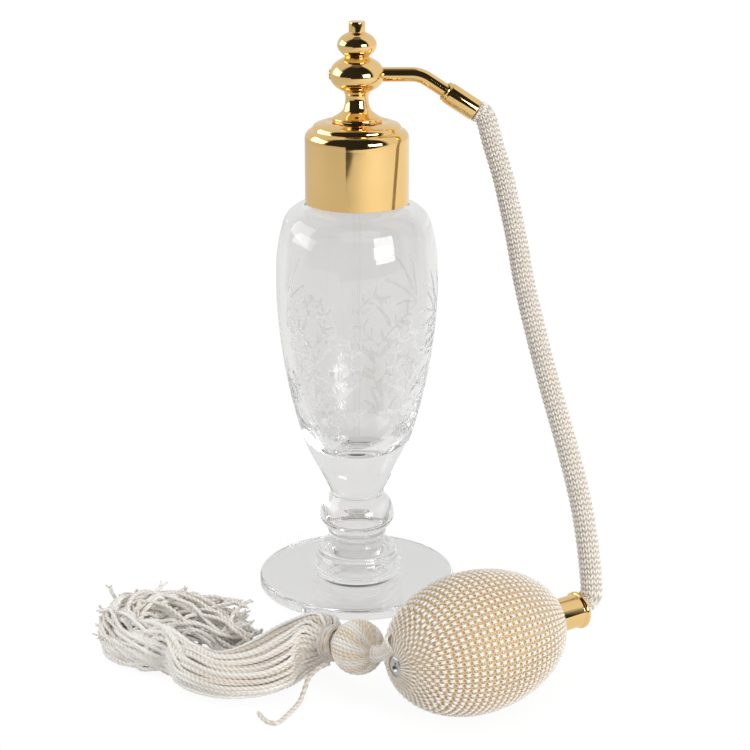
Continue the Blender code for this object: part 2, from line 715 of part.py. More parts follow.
def ferrule_base():
    """Where the arm enters its ferrule."""
    bend_x = ARM_BEND_X + ARM_BEND_RADIUS * math.sin(ARM_DROOP)
    bend_z = BALL_Z - ARM_BEND_RADIUS * (1.0 - math.cos(ARM_DROOP))
    return Vector((bend_x, 0.0, bend_z)) + ARM_RUN * ARM_AIM


def make_arm(materials, holder):
    """The bent air tube and the ferrule at its end."""
    base = ferrule_base()
    points = [Vector((ARM_INNER_END, 0.0, BALL_Z)), Vector((BALL_RADIUS, 0.0, BALL_Z))]
    for step in range(7):
        angle = ARM_DROOP * step / 6
        bend_x = ARM_BEND_X + ARM_BEND_RADIUS * math.sin(angle)
        bend_z = BALL_Z - ARM_BEND_RADIUS * (1.0 - math.cos(angle))
        points.append(Vector((bend_x, 0.0, bend_z)))
    points.append(base)
    points.append(base + (FERRULE_LENGTH - GAP) * ARM_AIM)
    arm = tube_mesh("air_arm", points, Vector((0.0, 1.0, 0.0)), ARM_RADIUS, ARM_BORE, TUBE_FACET_COUNT)
    add_piece("air_arm", arm, materials["gilt"], Matrix.Identity(4), holder)
    ferrule = turned("arm_ferrule", [
        (ARM_HOLE, 0.0),
        (0.5 * (ARM_HOLE + FERRULE_RADIUS), 0.0),
        (FERRULE_RADIUS - 0.05 * MM, 0.7 * FERRULE_SHOULDER),
        (FERRULE_RADIUS, FERRULE_SHOULDER),
        (FERRULE_RADIUS, FERRULE_LENGTH),
        (ARM_HOLE, FERRULE_LENGTH),
    ], SMALL_FACET_COUNT)
    place = frame_along(base, ARM_AIM, Vector((0.0, 1.0, 0.0)))
    add_piece("arm_ferrule", ferrule, materials["gilt"], place, holder)


def along_bulb(distance, up=0.0, across=0.0):
    """A point by its distance along the bulb's axis, its height over it and its place across it."""
    return BULB_CENTRE + distance * BULB_AIM + up * UP + across * BULB_SIDE


def bulb_ferrule_start():
    """How far along the bulb's axis its ferrule starts."""
    return NET_NECK_END + GAP


def make_hose(materials, holder):
    """The hose from the arm ferrule down into the bulb ferrule."""
    base = ferrule_base()
    start = base + (FERRULE_LENGTH + GAP) * ARM_AIM
    bend_start = bulb_ferrule_start() + BULB_FERRULE_LENGTH - HOSE_ENTRY + HOSE_STRAIGHT
    points = [start, start + HOSE_STEP * ARM_AIM]
    points += [Vector(spot) * MM for spot in HOSE_ROUTE_MM]
    for degrees in HOSE_BEND_ANGLES:
        angle = math.radians(degrees)
        out = bend_start + HOSE_BEND_RADIUS * math.sin(angle)
        points.append(along_bulb(out, HOSE_BEND_RADIUS * (1.0 - math.cos(angle))))
    points.append(along_bulb(bend_start - HOSE_STRAIGHT))
    route = even_points(points, HOSE_STEP)
    length = sum((second - first).length for first, second in zip(route, route[1:]))
    print("air_hose length in mm", round(length / MM, 1), "points", len(route))
    hose = cord_curve("air_hose", route, HOSE_RADIUS, 3)
    add_piece("air_hose", hose, materials["knit"], Matrix.Identity(4), holder)


def egg_section(
    outer_radius, outer_half, inner_radius, inner_half, neck_radius, neck_bore, neck_end, tail_hole
):
    """A hollow egg's section: tail hole, outside, neck, inside."""
    steps = 12
    tail = math.asin(tail_hole / outer_radius)
    front = math.pi - math.asin(neck_radius / outer_radius)
    outside = arc_points(0.0, outer_radius, outer_half, tail, front, steps)
    tail_inside = math.asin(tail_hole / inner_radius)
    front_inside = math.pi - math.asin(neck_bore / inner_radius)
    inside = arc_points(0.0, inner_radius, inner_half, front_inside, tail_inside, steps)
    return outside + [(neck_radius, neck_end), (neck_bore, neck_end)] + inside


def make_bulb(materials, holder, press_holder):
    """The two rubber halves, the net, the ferrule and the nipple."""
    place = frame_along(BULB_CENTRE, BULB_AIM, BULB_SIDE)
    rubber_radius = BULB_RADIUS - NET_THICK - GAP
    rubber_half = BULB_HALF_LENGTH - NET_THICK - GAP
    ferrule_start = bulb_ferrule_start()
    rubber_neck_end = ferrule_start + RUBBER_NECK_LENGTH
    section = egg_section(
        rubber_radius, rubber_half, rubber_radius - RUBBER_WALL, rubber_half - RUBBER_WALL,
        RUBBER_NECK_RADIUS, NIPPLE_FIT, rubber_neck_end, VALVE_FIT,
    )
    lift = Matrix.Translation(0.5 * GAP * UP)
    sink = Matrix.Translation(-0.5 * GAP * UP)
    turn_over = Matrix.Rotation(math.pi, 4, "Z")
    upper = turned("rubber_bulb_upper", section, SMALL_FACET_COUNT // 2, math.pi)
    lower = turned("rubber_bulb_lower", section, SMALL_FACET_COUNT // 2, math.pi)
    add_piece("rubber_bulb_upper", upper, materials["rubber"], lift @ place, press_holder)
    add_piece("rubber_bulb_lower", lower, materials["rubber"], sink @ place @ turn_over, holder)
    net_section = egg_section(
        BULB_RADIUS, BULB_HALF_LENGTH, BULB_RADIUS - NET_THICK, BULB_HALF_LENGTH - NET_THICK,
        NET_NECK_RADIUS, RUBBER_NECK_RADIUS + GAP, NET_NECK_END, VALVE_FIT,
    )
    net = turned("bulb_net", net_section, MEDIUM_FACET_COUNT)
    add_piece("bulb_net", net, materials["knit"], place, holder)
    rim_z = ferrule_start + BULB_FERRULE_LENGTH
    bore = BULB_FERRULE_RADIUS - BULB_FERRULE_WALL
    rim = []
    for step in range(7):
        angle = math.pi * step / 6
        rim.append((
            BULB_FERRULE_RADIUS + 0.8 * BULB_RIM_ROUND * math.sin(angle),
            rim_z - BULB_RIM_ROUND * (1.0 + math.cos(angle)),
        ))
    ferrule = turned("bulb_ferrule", [
        (bore, ferrule_start), (BULB_FERRULE_RADIUS, ferrule_start)
    ] + rim + [(bore, rim_z)], SMALL_FACET_COUNT)
    add_piece("bulb_ferrule", ferrule, materials["gilt"], place, holder)
    nipple_top = rim_z - HOSE_ENTRY - GAP
    nipple_low = nipple_top - NIPPLE_LENGTH
    nipple = turned("hose_nipple", [
        (NIPPLE_BORE, nipple_low), (NIPPLE_RADIUS, nipple_low),
        (NIPPLE_RADIUS, nipple_top), (NIPPLE_BORE, nipple_top),
    ], SMALL_FACET_COUNT)
    add_piece("hose_nipple", nipple, materials["brass"], place, holder)


def valve_seat_place():
    """Distance along the bulb's axis of the flange's inner face and of the ball's seat."""
    flange = -ellipse_reach(BULB_RADIUS, BULB_HALF_LENGTH, VALVE_FIT) - GAP
    return flange, flange - VALVE_FLANGE_THICK + VALVE_SEAT


def make_valve(materials, holder, ball_holder):
    """The intake valve: plug, ball and retaining ring."""
    place = frame_along(BULB_CENTRE, BULB_AIM, BULB_SIDE)
    flange, seat = valve_seat_place()
    outer = flange - VALVE_FLANGE_THICK
    end = flange + VALVE_LENGTH
    body = turned("intake_valve_body", [
        (VALVE_HOLE, outer),
        (VALVE_FLANGE_RADIUS, outer),
        (VALVE_FLANGE_RADIUS, flange),
        (VALVE_SHANK_RADIUS, flange),
        (VALVE_SHANK_RADIUS, end),
        (VALVE_CHAMBER, end),
        (VALVE_CHAMBER, seat),
        (VALVE_HOLE, seat),
    ], SMALL_FACET_COUNT)
    add_piece("intake_valve_body", body, materials["steel"], place, holder)
    ring_outer = VALVE_CHAMBER - GAP
    ring_low = end - VALVE_RETAINER_THICK - GAP
    ring_top = end - GAP
    retainer = turned("valve_retainer", [
        (VALVE_HOLE, ring_low), (ring_outer, ring_low), (ring_outer, ring_top), (VALVE_HOLE, ring_top)
    ], SMALL_FACET_COUNT)
    add_piece("valve_retainer", retainer, materials["steel"], place, holder)
    bm = bmesh.new()
    bmesh.ops.create_icosphere(bm, subdivisions=2, radius=VALVE_BALL_RADIUS)
    ball = mesh_from(bm, "intake_valve_ball", 60.0)
    add_piece("intake_valve_ball", ball, materials["steel"], ball_holder.matrix_basis, ball_holder)


def valve_ball_place():
    """The ball's middle when it sits on the edge of the intake hole."""
    seat = valve_seat_place()[1]
    rest = math.sqrt(VALVE_BALL_RADIUS ** 2 - VALVE_HOLE ** 2)
    return along_bulb(seat + rest + GAP)


def tassel_hinge():
    """The point beside the valve where the tassel's neck swings."""
    reach = -ellipse_reach(BULB_RADIUS, BULB_HALF_LENGTH, TASSEL_HINGE_SPREAD)
    slope = Vector((reach / BULB_HALF_LENGTH ** 2, TASSEL_HINGE_SPREAD / BULB_RADIUS ** 2)).normalized()
    spread = TASSEL_HINGE_SPREAD + TASSEL_HINGE_OUT * slope.y
    return along_bulb(reach + TASSEL_HINGE_OUT * slope.x, 0.0, spread)


def make_tassel(materials, holder):
    """Neck, knit-covered ball, binding, skirt and the binding's loose tail."""
    hinge = tassel_hinge()
    aim = TASSEL_BALL_CENTRE - hinge
    neck_end = aim.length - TASSEL_BALL_RADIUS - GAP
    neck_loop = arc_points(0.0, TASSEL_NECK_RADIUS, TASSEL_NECK_RADIUS, 0.0, 0.5 * math.pi, 5)
    neck_loop += [(TASSEL_NECK_RADIUS, 0.4 * neck_end), (TASSEL_NECK_FLARE, neck_end), (0.0, neck_end)]
    neck = turned("tassel_neck", neck_loop, SMALL_FACET_COUNT)
    add_piece("tassel_neck", neck, materials["knit"], frame_along(hinge, aim, UP), holder)
    ball_place = frame_along(TASSEL_BALL_CENTRE, TASSEL_BALL_HEADING, UP)
    waist_angle = math.pi - math.asin(TASSEL_WAIST_RADIUS / TASSEL_BALL_RADIUS)
    ball_loop = arc_points(0.0, TASSEL_BALL_RADIUS, TASSEL_BALL_RADIUS, 0.0, waist_angle, 14)
    ball_loop += [(TASSEL_WAIST_RADIUS, TASSEL_WAIST_END), (0.0, TASSEL_WAIST_END)]
    ball = turned("tassel_head", ball_loop, SMALL_FACET_COUNT)
    add_piece("tassel_head", ball, materials["knit"], ball_place, holder)
    make_binding(materials, holder, ball_place)
    make_skirt(materials, holder)
    tail_points = [Vector(spot) * MM for spot in TAIL_ROUTE_MM]
    tail = cord_curve("tassel_tail", even_points(tail_points, TAIL_STEP), TAIL_RADIUS, 2)
    add_piece("tassel_tail", tail, materials["cord"], Matrix.Identity(4), holder)


def make_binding(materials, holder, ball_place):
    """The cord wound round the tassel's waist as one unbroken helix."""
    reach = TASSEL_WAIST_RADIUS + GAP + BINDING_RADIUS
    points = []
    for step in range(round(BINDING_LOOP_COUNT * BINDING_TURNS) + 1):
        turn = step / BINDING_LOOP_COUNT
        angle = 2.0 * math.pi * turn
        height = BINDING_START + BINDING_PITCH * turn
        points.append(Vector((reach * math.cos(angle), reach * math.sin(angle), height)))
    least = min(
        (points[first] - points[second]).length
        for first in range(len(points))
        for second in range(first + BINDING_LOOP_COUNT // 2, len(points))
    )
    print("tassel_binding least gap to itself in mm", round((least - 2.0 * BINDING_RADIUS) / MM, 2))
    coil = cord_curve("tassel_binding", points, BINDING_RADIUS, 1)
    add_piece("tassel_binding", coil, materials["cord"], ball_place, holder)


def make_skirt(materials, holder):
    """The bundle of cords as one fluted body that sweeps down and round on the table."""
    sides = 3 * SKIRT_FLUTES
    aim = TASSEL_BALL_HEADING.normalized()
    start = TASSEL_BALL_CENTRE + (TASSEL_WAIST_END + GAP) * aim
    sections = [(start, aim, TASSEL_WAIST_RADIUS, TASSEL_WAIST_RADIUS)]
    for x, y, z, degrees, half_width, half_height in SKIRT_SECTIONS:
        turn = math.radians(degrees)
        heading = Vector((math.cos(turn), math.sin(turn), 0.0))
        sections.append((Vector((x, y, z)) * MM, heading, half_width * MM, half_height * MM))
    bm = bmesh.new()
    rings = []
    for middle, heading, half_width, half_height in sections:
        across = UP.cross(heading).normalized()
        lift = heading.cross(across)
        ring = []
        for side in range(sides):
            angle = 2.0 * math.pi * side / sides
            flute = 1.0 + SKIRT_FLUTE_DEPTH * math.cos(SKIRT_FLUTES * angle)
            out = half_width * math.cos(angle) * across + half_height * math.sin(angle) * lift
            ring.append(bm.verts.new(middle + flute * out))
        rings.append(ring)
    for lower, upper in zip(rings, rings[1:]):
        for side in range(sides):
            after = (side + 1) % sides
            bm.faces.new((lower[side], lower[after], upper[after], upper[side]))
    bm.faces.new(rings[0])
    bm.faces.new(rings[-1])
    skirt = mesh_from(bm, "tassel_skirt", 70.0)
    add_piece("tassel_skirt", skirt, materials["cord"], Matrix.Identity(4), holder)


def make_materials():
    """The object's materials, one for each kind of surface."""
    return {
        "glass": make_material("clear_glass", (0.95, 0.96, 0.96), 0.03, transmission=1.0),
        "gilt": make_material("polished_gilt", (0.83, 0.6, 0.25), 0.12, metallic=1.0),
        "brass": make_material("plain_brass", (0.7, 0.52, 0.25), 0.35, metallic=1.0),
        "steel": make_material("nickel_plate", (0.62, 0.62, 0.6), 0.3, metallic=1.0),
        "seal": make_material("seal_washer", (0.85, 0.83, 0.78), 0.6),
        "clear_plastic": make_material("clear_plastic", (0.93, 0.94, 0.94), 0.15, transmission=0.9),
        "rubber": make_material("tan_rubber", (0.62, 0.42, 0.22), 0.5),
        "knit": make_material("ivory_knit", (0.86, 0.81, 0.72), 0.6),
        "cord": make_material("ivory_cord", (0.87, 0.82, 0.74), 0.55),
    }


def main():
    clear_scene()
    materials = make_materials()
    bottle = make_empty("bottle_frame", Matrix.Identity(4))
    axis = make_empty("collar_axis", Matrix.Identity(4))
    head = make_empty("head_frame", Matrix.Identity(4))
    seal = make_empty("gasket_frame", Matrix.Identity(4))
    press = make_empty("bulb_press_frame", Matrix.Translation(BULB_CENTRE))
    ball = make_empty("valve_ball_frame", Matrix.Translation(valve_ball_place()))
    swing = make_empty("tassel_hinge_frame", Matrix.Translation(tassel_hinge()))
    make_bottle(materials, bottle)
    make_gasket(materials, seal)
    make_collar(materials, axis)
    make_stem(materials, head)
    make_head(materials, head)
    make_arm(materials, head)
    make_hose(materials, head)
    make_bulb(materials, head, press)
    make_valve(materials, head, ball)
    make_tassel(materials, swing)


main()
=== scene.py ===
"""Looks for the footed glass perfume bottle with its gilt spray head, hose, netted bulb and tassel.

Sizes are in mm, and in metres for the camera and lamps, in the part's own frame: +Z up, the origin under
the middle of the foot. The nozzle faces -X, the air arm leaves along +X, the bulb and tassel lie to -Y.
"""

import random
from math import asin, atan2, cos, pi, radians, sin, sqrt

import bpy
import numpy as np
from mathutils import Matrix, Vector


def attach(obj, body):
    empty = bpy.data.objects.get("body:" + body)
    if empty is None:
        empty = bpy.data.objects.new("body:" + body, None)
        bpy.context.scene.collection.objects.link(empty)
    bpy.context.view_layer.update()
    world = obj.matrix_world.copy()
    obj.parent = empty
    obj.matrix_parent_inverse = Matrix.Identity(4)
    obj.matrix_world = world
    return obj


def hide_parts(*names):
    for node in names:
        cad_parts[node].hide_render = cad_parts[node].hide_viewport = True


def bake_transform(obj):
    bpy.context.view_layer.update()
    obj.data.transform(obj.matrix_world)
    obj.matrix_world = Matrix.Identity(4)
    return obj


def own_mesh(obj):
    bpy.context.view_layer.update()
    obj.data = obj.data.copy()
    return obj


MM = 0.001
TURN = 2.0 * pi
UP = Vector((0.0, 0.0, 1.0))

# Camera, at the photograph's viewpoint, in metres
CAMERA_PLACE = (0.0, -0.54856, 0.24573)
CAMERA_TILT = radians(90.0 - 17.959)
CAMERA_LENS = 90.69
CAMERA_SENSOR = 36.0
CAMERA_SHIFT = 0.024

# Heights of the turned pieces in mm, as in the solids
SHOULDER_Z = 121.9
RIM_Z = 138.5
COLLAR_CEILING_Z = 143.3
BALL_Z = 159.65
BALL_TOP_Z = 164.14
FINIAL_Z = 164.44
FINIAL_BALL_Z = 168.24
TOP_Z = 175.0

# Air arm and its ferrule, in mm
ARM_RADIUS = 2.1
ARM_BEND_X = 15.7
ARM_BEND_RADIUS = 9.0
ARM_DROOP = radians(33.0)
ARM_RUN = 5.9
FERRULE_RADIUS = 3.2
FERRULE_LENGTH = 10.8
ARM_AIM = Vector((cos(ARM_DROOP), 0.0, -sin(ARM_DROOP)))

# Bulb, in mm
BULB_CENTRE = Vector((31.4, -85.0, 19.5))
BULB_HEADING = radians(34.0)
BULB_AIM = Vector((cos(BULB_HEADING), sin(BULB_HEADING), 0.0))
BULB_SIDE = Vector((-sin(BULB_HEADING), cos(BULB_HEADING), 0.0))
BULB_RADIUS = 19.2
BULB_TAIL_LENGTH = 26.6
BULB_FRONT_LENGTH = 28.9
NET_NECK_RADIUS = 4.4
BULB_FERRULE_START = 28.9
BULB_FERRULE_RADIUS = 4.65
BULB_FERRULE_LENGTH = 8.6
VALVE_FACE = 25.9
VALVE_HOLE_RADIUS = 2.9
# The hollow in the rubber behind the valve, as (radius, height) corners
VALVE_RECESS = ((0.0, -19.5), (4.2, -19.5), (4.2, -23.8))
SKIN_NECK_RADIUS = 3.6
SKIN_NECK_REACH = 3.9

# Net over the bulb: stitches round it and along it, samples to a stitch, half the yarn's thickness in mm
NET_WALES = 64
NET_COURSES = 32
NET_SAMPLES = 8
NET_YARN_SIDES = 6
NET_YARN = 0.23

# Hose route in mm, as in the solids
GAP = 0.3
HOSE_RADIUS = 3.15
HOSE_STEP = 3.2
HOSE_ROUTE = (
    (39.9, -2.2, 139.4), (42.6, -5.4, 131.0), (44.6, -9.2, 122.6), (46.6, -13.4, 113.2),
    (48.3, -18.4, 103.5), (51.3, -25.6, 90.6), (55.3, -33.8, 75.8), (59.4, -42.0, 62.0),
    (62.9, -50.0, 48.6), (64.8, -56.2, 37.6),
)
HOSE_ENTRY = 4.2
HOSE_STRAIGHT = 2.0
HOSE_BEND_RADIUS = 6.6
HOSE_BEND_ANGLES = (78.0, 52.0, 26.0, 0.0)
HOSE_SPACING = 0.2
HOSE_WALES = 24
HOSE_WALE_SIDES = 5
HOSE_STITCH = 1.48

# Tassel, in mm
TASSEL_BALL = Vector((0.3, -79.7, 15.5))
TASSEL_BALL_RADIUS = 7.6
TASSEL_AIM = Vector((-0.655, 0.72, -0.234)).normalized()
TASSEL_WAIST_RADIUS = 3.6
TASSEL_WAIST_END = 13.1
BINDING_PITCH = 1.8
BINDING_TURNS = 2.5
BINDING_START = 7.95
BINDING_STEPS = 24
CORD_RADIUS = 0.64
CORD_SPACING = 0.3
CORD_SIDES = 8
NECK_STRANDS = 18
COVER_STRANDS = 40
COVER_START = 0.17
COVER_SPACING = 0.25
SKIRT_CORDS = 128
SKIRT_SEED = 7
GOLDEN_TURN = 2.39996
# Each row: middle of the section, heading in degrees, half width and half height
SKIRT_SECTIONS = (
    (-8.9, -69.8, 12.4, 132.0, 7.0, 7.2),
    (-11.0, -68.4, 11.6, 142.0, 9.4, 8.8),
    (-14.6, -67.8, 9.9, 164.0, 11.5, 9.4),
    (-20.6, -70.5, 8.3, 190.0, 13.0, 8.0),
    (-29.0, -75.0, 6.4, 196.0, 12.3, 6.0),
    (-38.0, -76.6, 5.8, 180.0, 10.0, 5.3),
    (-46.5, -71.5, 6.0, 160.0, 8.5, 5.4),
)
# The heap: the paths of its outermost and innermost cords on the table
HEAP_OUTER = (
    (-54.0, -67.5), (-61.5, -65.0), (-68.5, -59.5), (-73.0, -51.5), (-73.5, -43.0), (-70.0, -34.5),
    (-61.0, -29.5), (-51.0, -31.0), (-41.0, -38.0),
)
HEAP_INNER = (
    (-54.0, -63.5), (-59.5, -59.5), (-63.0, -55.0), (-63.5, -51.0), (-60.0, -48.0), (-53.5, -48.5),
    (-46.0, -52.0), (-38.5, -56.5), (-31.0, -59.5),
)
NECK_ROUTE = (
    (10.2, -95.8, 25.0), (8.6, -93.4, 22.0), (7.2, -89.6, 18.8), (5.7, -86.0, 16.8), (4.4, -83.6, 15.8)
)
TAIL_RADIUS = 0.7
TAIL_ROUTE = (
    (-7.6, -77.5, 9.6), (-10.8, -79.0, 8.6), (-13.2, -80.0, 6.4), (-14.6, -82.0, 3.2), (-15.8, -84.8, 1.3),
    (-18.6, -91.0, 1.0), (-21.3, -95.8, 1.0), (-24.2, -94.9, 1.0), (-26.7, -90.3, 1.0),
)

# Cut sprays, unrolled, in mm from each spray's root. Leaves: start, turn, length, half width and bow
GLASS_COLUMNS = 420
SPRAYS = 4
SPRAY_HEADING = radians(-122.0)
SPRAY_ROOT_Z = 54.0
CUT_DEPTH = 0.1
MATT_DEPTH = 0.14
TENDRILS = (
    ((0.0, 0.0), (5.5, 8.0), (4.5, 17.0), (-3.0, 26.0), (-12.0, 34.0)),
    ((4.0, 5.0), (-4.0, 13.0), (-11.0, 16.0), (-15.5, 12.0), (-13.0, 7.5)),
    ((4.5, 17.0), (10.5, 22.0), (11.5, 29.0), (7.0, 33.5), (2.5, 31.0)),
)
BROAD_LEAVES = (
    ((4.5, 6.0), 0.25, 11.0, 1.5, 3.0),
    ((5.0, 11.0), 0.7, 11.0, 1.4, 3.0),
    ((4.0, 13.0), 2.3, 10.0, 1.4, -3.0),
    ((0.0, 23.0), 0.8, 10.0, 1.3, 2.5),
    ((-3.0, 26.0), 2.9, 9.0, 1.2, 2.5),
)
BLADES = (
    ((-12.0, 34.0), 1.25, 17.0, 0.75, 2.5),
    ((-12.0, 34.0), 0.75, 21.0, 0.75, 5.0),
    ((-12.0, 34.0), 0.25, 19.0, 0.75, 5.0),
    ((-12.0, 34.0), -0.3, 13.0, 0.75, 3.5),
)

# Studio: the table's edge in mm, and the grey of the walls by degrees from the photographer's side, as
# polished surfaces mirror them and as the glass shows them
FLOOR_EDGE = (
    (-1600.0, -1300.0), (-610.0, -1300.0), (-255.0, -570.0), (-60.0, -720.0), (1600.0, -780.0),
    (1600.0, 1800.0), (-1600.0, 1800.0),
)
FLOOR_DROP = 0.2
WALLS = ((-180.0, 0.8), (-86.0, 0.75), (-70.0, 0.03), (66.0, 0.02), (76.0, 0.9), (180.0, 0.8))
BACKLIT = ((-180.0, 0.86), (-105.0, 0.86), (-75.0, 0.45), (70.0, 0.45), (100.0, 0.86), (180.0, 0.86))
ROOM_LIGHT = 0.36
# Lamps: name, azimuth from the photographer's side, elevation, distance, width, height, power, and whether
# polished surfaces mirror it; sizes in metres
SOFTBOXES = (
    ("softbox_right", 42.0, 15.0, 0.8, 0.42, 0.3, 3.3, True),
    ("softbox_left", -100.0, 22.0, 0.75, 0.6, 0.4, 1.9, True),
    ("softbox_top", 10.0, 72.0, 1.2, 1.0, 1.0, 4.2, False),
)
LAMP_TARGET = Vector((0.0, -0.03, 0.08))


# Curves and meshes

def smooth_points(points, steps):
    """Points on a smooth curve through the given points, steps to each stretch."""
    points = [Vector(point) for point in points]
    ends = [2 * points[0] - points[1]] + points + [2 * points[-1] - points[-2]]
    curve = []
    for index in range(1, len(ends) - 2):
        before, start, stop, after = ends[index - 1:index + 3]
        for step in range(steps):
            t = step / steps
            curve.append(0.5 * (
                2 * start
                + (stop - before) * t
                + (2 * before - 5 * start + 4 * stop - after) * t ** 2
                + (3 * start - before - 3 * stop + after) * t ** 3
            ))
    curve.append(points[-1].copy())
    return curve


def lengths_along(points):
    """The distance travelled at each point of a line."""
    return np.concatenate([[0.0], np.cumsum(np.linalg.norm(np.diff(points, axis=0), axis=1))])


def round_spots(radii, turns, heights):
    """Points by their distances from local Z, their turns about it and their heights."""
    return np.column_stack([radii * np.cos(turns), radii * np.sin(turns), heights])


def even_points(points, spacing):
    """Points about one spacing apart on a smooth curve through the given points."""
    fine = np.array([tuple(point) for point in smooth_points(points, 40)])
    lengths = lengths_along(fine)
    count = max(2, round(lengths[-1] / spacing))
    wanted = np.linspace(0.0, lengths[-1], count + 1)
    return np.column_stack([np.interp(wanted, lengths, fine[:, axis]) for axis in range(fine.shape[1])])


def smooth_profile(points, steps):
    """A smooth profile through (radius, height) points."""
    return [(spot.x, spot.y) for spot in smooth_points(points, steps)]


def softened(corners, steps=4):
    """A closed profile from (radius, height, softness) corners; one without a softness stays sharp."""
    profile = []
    for index, (radius, height, *soft) in enumerate(corners):
        if not soft:
            profile.append((radius, height))
            continue
        here = Vector((radius, height))
        before = Vector(corners[index - 1][:2])
        after = Vector(corners[(index + 1) % len(corners)][:2])
        first = here + soft[0] * (before - here).normalized()
        last = here + soft[0] * (after - here).normalized()
        for step in range(steps + 1):
            t = step / steps
            spot = (1 - t) ** 2 * first + 2 * t * (1 - t) * here + t ** 2 * last
            profile.append((spot.x, spot.y))
    return profile


def frame_along(origin, aim, side):
    """A placement with local Z along aim and local X along side, squared up."""
    z_axis = aim.normalized()
    y_axis = z_axis.cross(side).normalized()
    x_axis = y_axis.cross(z_axis)
    return Matrix.Translation(origin) @ Matrix((x_axis, y_axis, z_axis)).transposed().to_4x4()


def add_mesh(name, points, faces, material, sharp=None):
    """A smooth-shaded mesh object from points in mm and faces."""
    mesh = bpy.data.meshes.new(name)
    mesh.from_pydata((np.asarray(points, float) * MM).tolist(), [], faces)
    mesh.shade_smooth()
    if sharp is not None:
        mesh.set_sharp_from_angle(angle=radians(sharp))
    mesh.materials.append(material)
    piece = bpy.data.objects.new(name, mesh)
    bpy.context.collection.objects.link(piece)
    return piece


def placed(points, place):
    """Points in mm carried by a placement."""
    matrix = np.array(place)
    return np.asarray(points) @ matrix[:3, :3].T + matrix[:3, 3]


def round_spot(radius, turn, height):
    """A point by its distance from local Z, its turn about it and its height."""
    return radius * cos(turn), radius * sin(turn), height


def turned_arrays(profile, columns, sweep=TURN):
    """Points and faces of a turned solid about local Z, from a closed loop of (radius, height)."""
    full = sweep > TURN - 1e-6
    count = columns if full else columns + 1
    points = []
    rings = []
    for radius, height in profile:
        if radius < 1e-6:
            rings.append([len(points)] * count)
            points.append((0.0, 0.0, height))
            continue
        rings.append(list(range(len(points), len(points) + count)))
        points += [round_spot(radius, sweep * column / columns, height) for column in range(count)]
    faces = []
    for lower, upper in zip(rings, rings[1:] + rings[:1]):
        if lower[0] == lower[-1] and upper[0] == upper[-1]:
            continue
        for column in range(columns):
            after = (column + 1) % count
            corners = (lower[column], lower[after], upper[after], upper[column])
            faces.append(tuple(dict.fromkeys(corners)))
    if not full:
        faces.append(tuple(dict.fromkeys(ring[0] for ring in rings)))
        faces.append(tuple(reversed(list(dict.fromkeys(ring[-1] for ring in rings)))))
    return np.array(points), faces


def finish_piece(piece, body, slot, *nodes):
    """Say what a piece moves with and hide the solids that it stands for; the slot is not used."""
    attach(piece, body)
    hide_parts(*nodes)


def add_turned(materials, name, profile, columns, body, slot, node, place=Matrix.Identity(4)):
    """A turned piece with its axis along local Z, in the material of its slot."""
    points, faces = turned_arrays(profile, columns)
    piece = add_mesh(name, placed(points, place), faces, materials[slot], 40.0)
    finish_piece(piece, body, slot, node)
    return piece


def tangents_of(points):
    """Unit directions along a line of points."""
    slopes = np.gradient(points, axis=0)
    return slopes / np.linalg.norm(slopes, axis=1, keepdims=True)


def carried_normals(tangents):
    """Normals along a line that don't turn about it."""
    first = np.array((0.0, 0.0, 1.0)) if abs(tangents[0][2]) < 0.9 else np.array((1.0, 0.0, 0.0))
    normals = np.empty_like(tangents)
    normal = first
    for index, tangent in enumerate(tangents):
        normal = normal - tangent * normal.dot(tangent)
        normal = normal / np.linalg.norm(normal)
        normals[index] = normal
    return normals


def tube_arrays(points, normals, radii):
    """Points and faces of a closed tube. Radii has one row for each point and one column for each side."""
    sides = radii.shape[1]
    tangents = tangents_of(points)
    across = np.cross(tangents, normals)
    across /= np.linalg.norm(across, axis=1, keepdims=True)
    normals = np.cross(across, tangents)
    angles = (np.arange(sides) * TURN / sides)[None, :, None]
    spokes = np.cos(angles) * normals[:, None] + np.sin(angles) * across[:, None]
    shell = (points[:, None] + radii[:, :, None] * spokes).reshape(-1, 3)
    rows = np.arange(len(points) - 1)[:, None] * sides
    here = np.arange(sides)[None, :]
    after = (here + 1) % sides
    quads = np.stack([rows + here, rows + after, rows + sides + after, rows + sides + here], axis=-1)
    faces = [tuple(face) for face in quads.reshape(-1, 4).tolist()]
    faces.append(tuple(range(sides - 1, -1, -1)))
    last = (len(points) - 1) * sides
    faces.append(tuple(range(last, last + sides)))
    return shell, faces


def tube_along(line, radii):
    """A closed tube that doesn't turn about its line."""
    return tube_arrays(line, carried_normals(tangents_of(line)), radii)


class Bundle:
    """Gathers many tubes into one mesh, with a shade for each: its own tone, painted highlights and painted
    shade.
    """

    def __init__(self):
        self.points = []
        self.faces = []
        self.shades = []
        self.count = 0

    def add(self, points, faces, shade=0.5):
        self.points.append(points)
        self.faces.extend(tuple(index + self.count for index in face) for face in faces)
        self.shades.append(np.full(len(points), shade))
        self.count += len(points)

    def finish(self, name, material):
        piece = add_mesh(name, np.concatenate(self.points), self.faces, material)
        mark(piece, "shade", np.concatenate(self.shades))
        return piece


def mark(piece, name, values):
    """Store one number for each point of a mesh."""
    layer = piece.data.attributes.new(name, "FLOAT", "POINT")
    layer.data.foreach_set("value", np.asarray(values, np.float32))


# Materials

def new_material(name, **values):
    """A Principled material with constant values on its sockets."""
    material = bpy.data.materials.new(name)
    material.use_nodes = True
    shader = material.node_tree.nodes["Principled BSDF"]
    for socket, value in values.items():
        shader.inputs[socket.replace("_", " ")].default_value = value
    return material


def fill_sockets(tree, node, inputs):
    """Give a node's inputs plain values or other nodes' outputs; returns the node's outputs."""
    for name, value in inputs.items():
        if isinstance(value, bpy.types.NodeSocket):
            tree.links.new(value, node.inputs[name])
        else:
            node.inputs[name].default_value = value
    return node.outputs


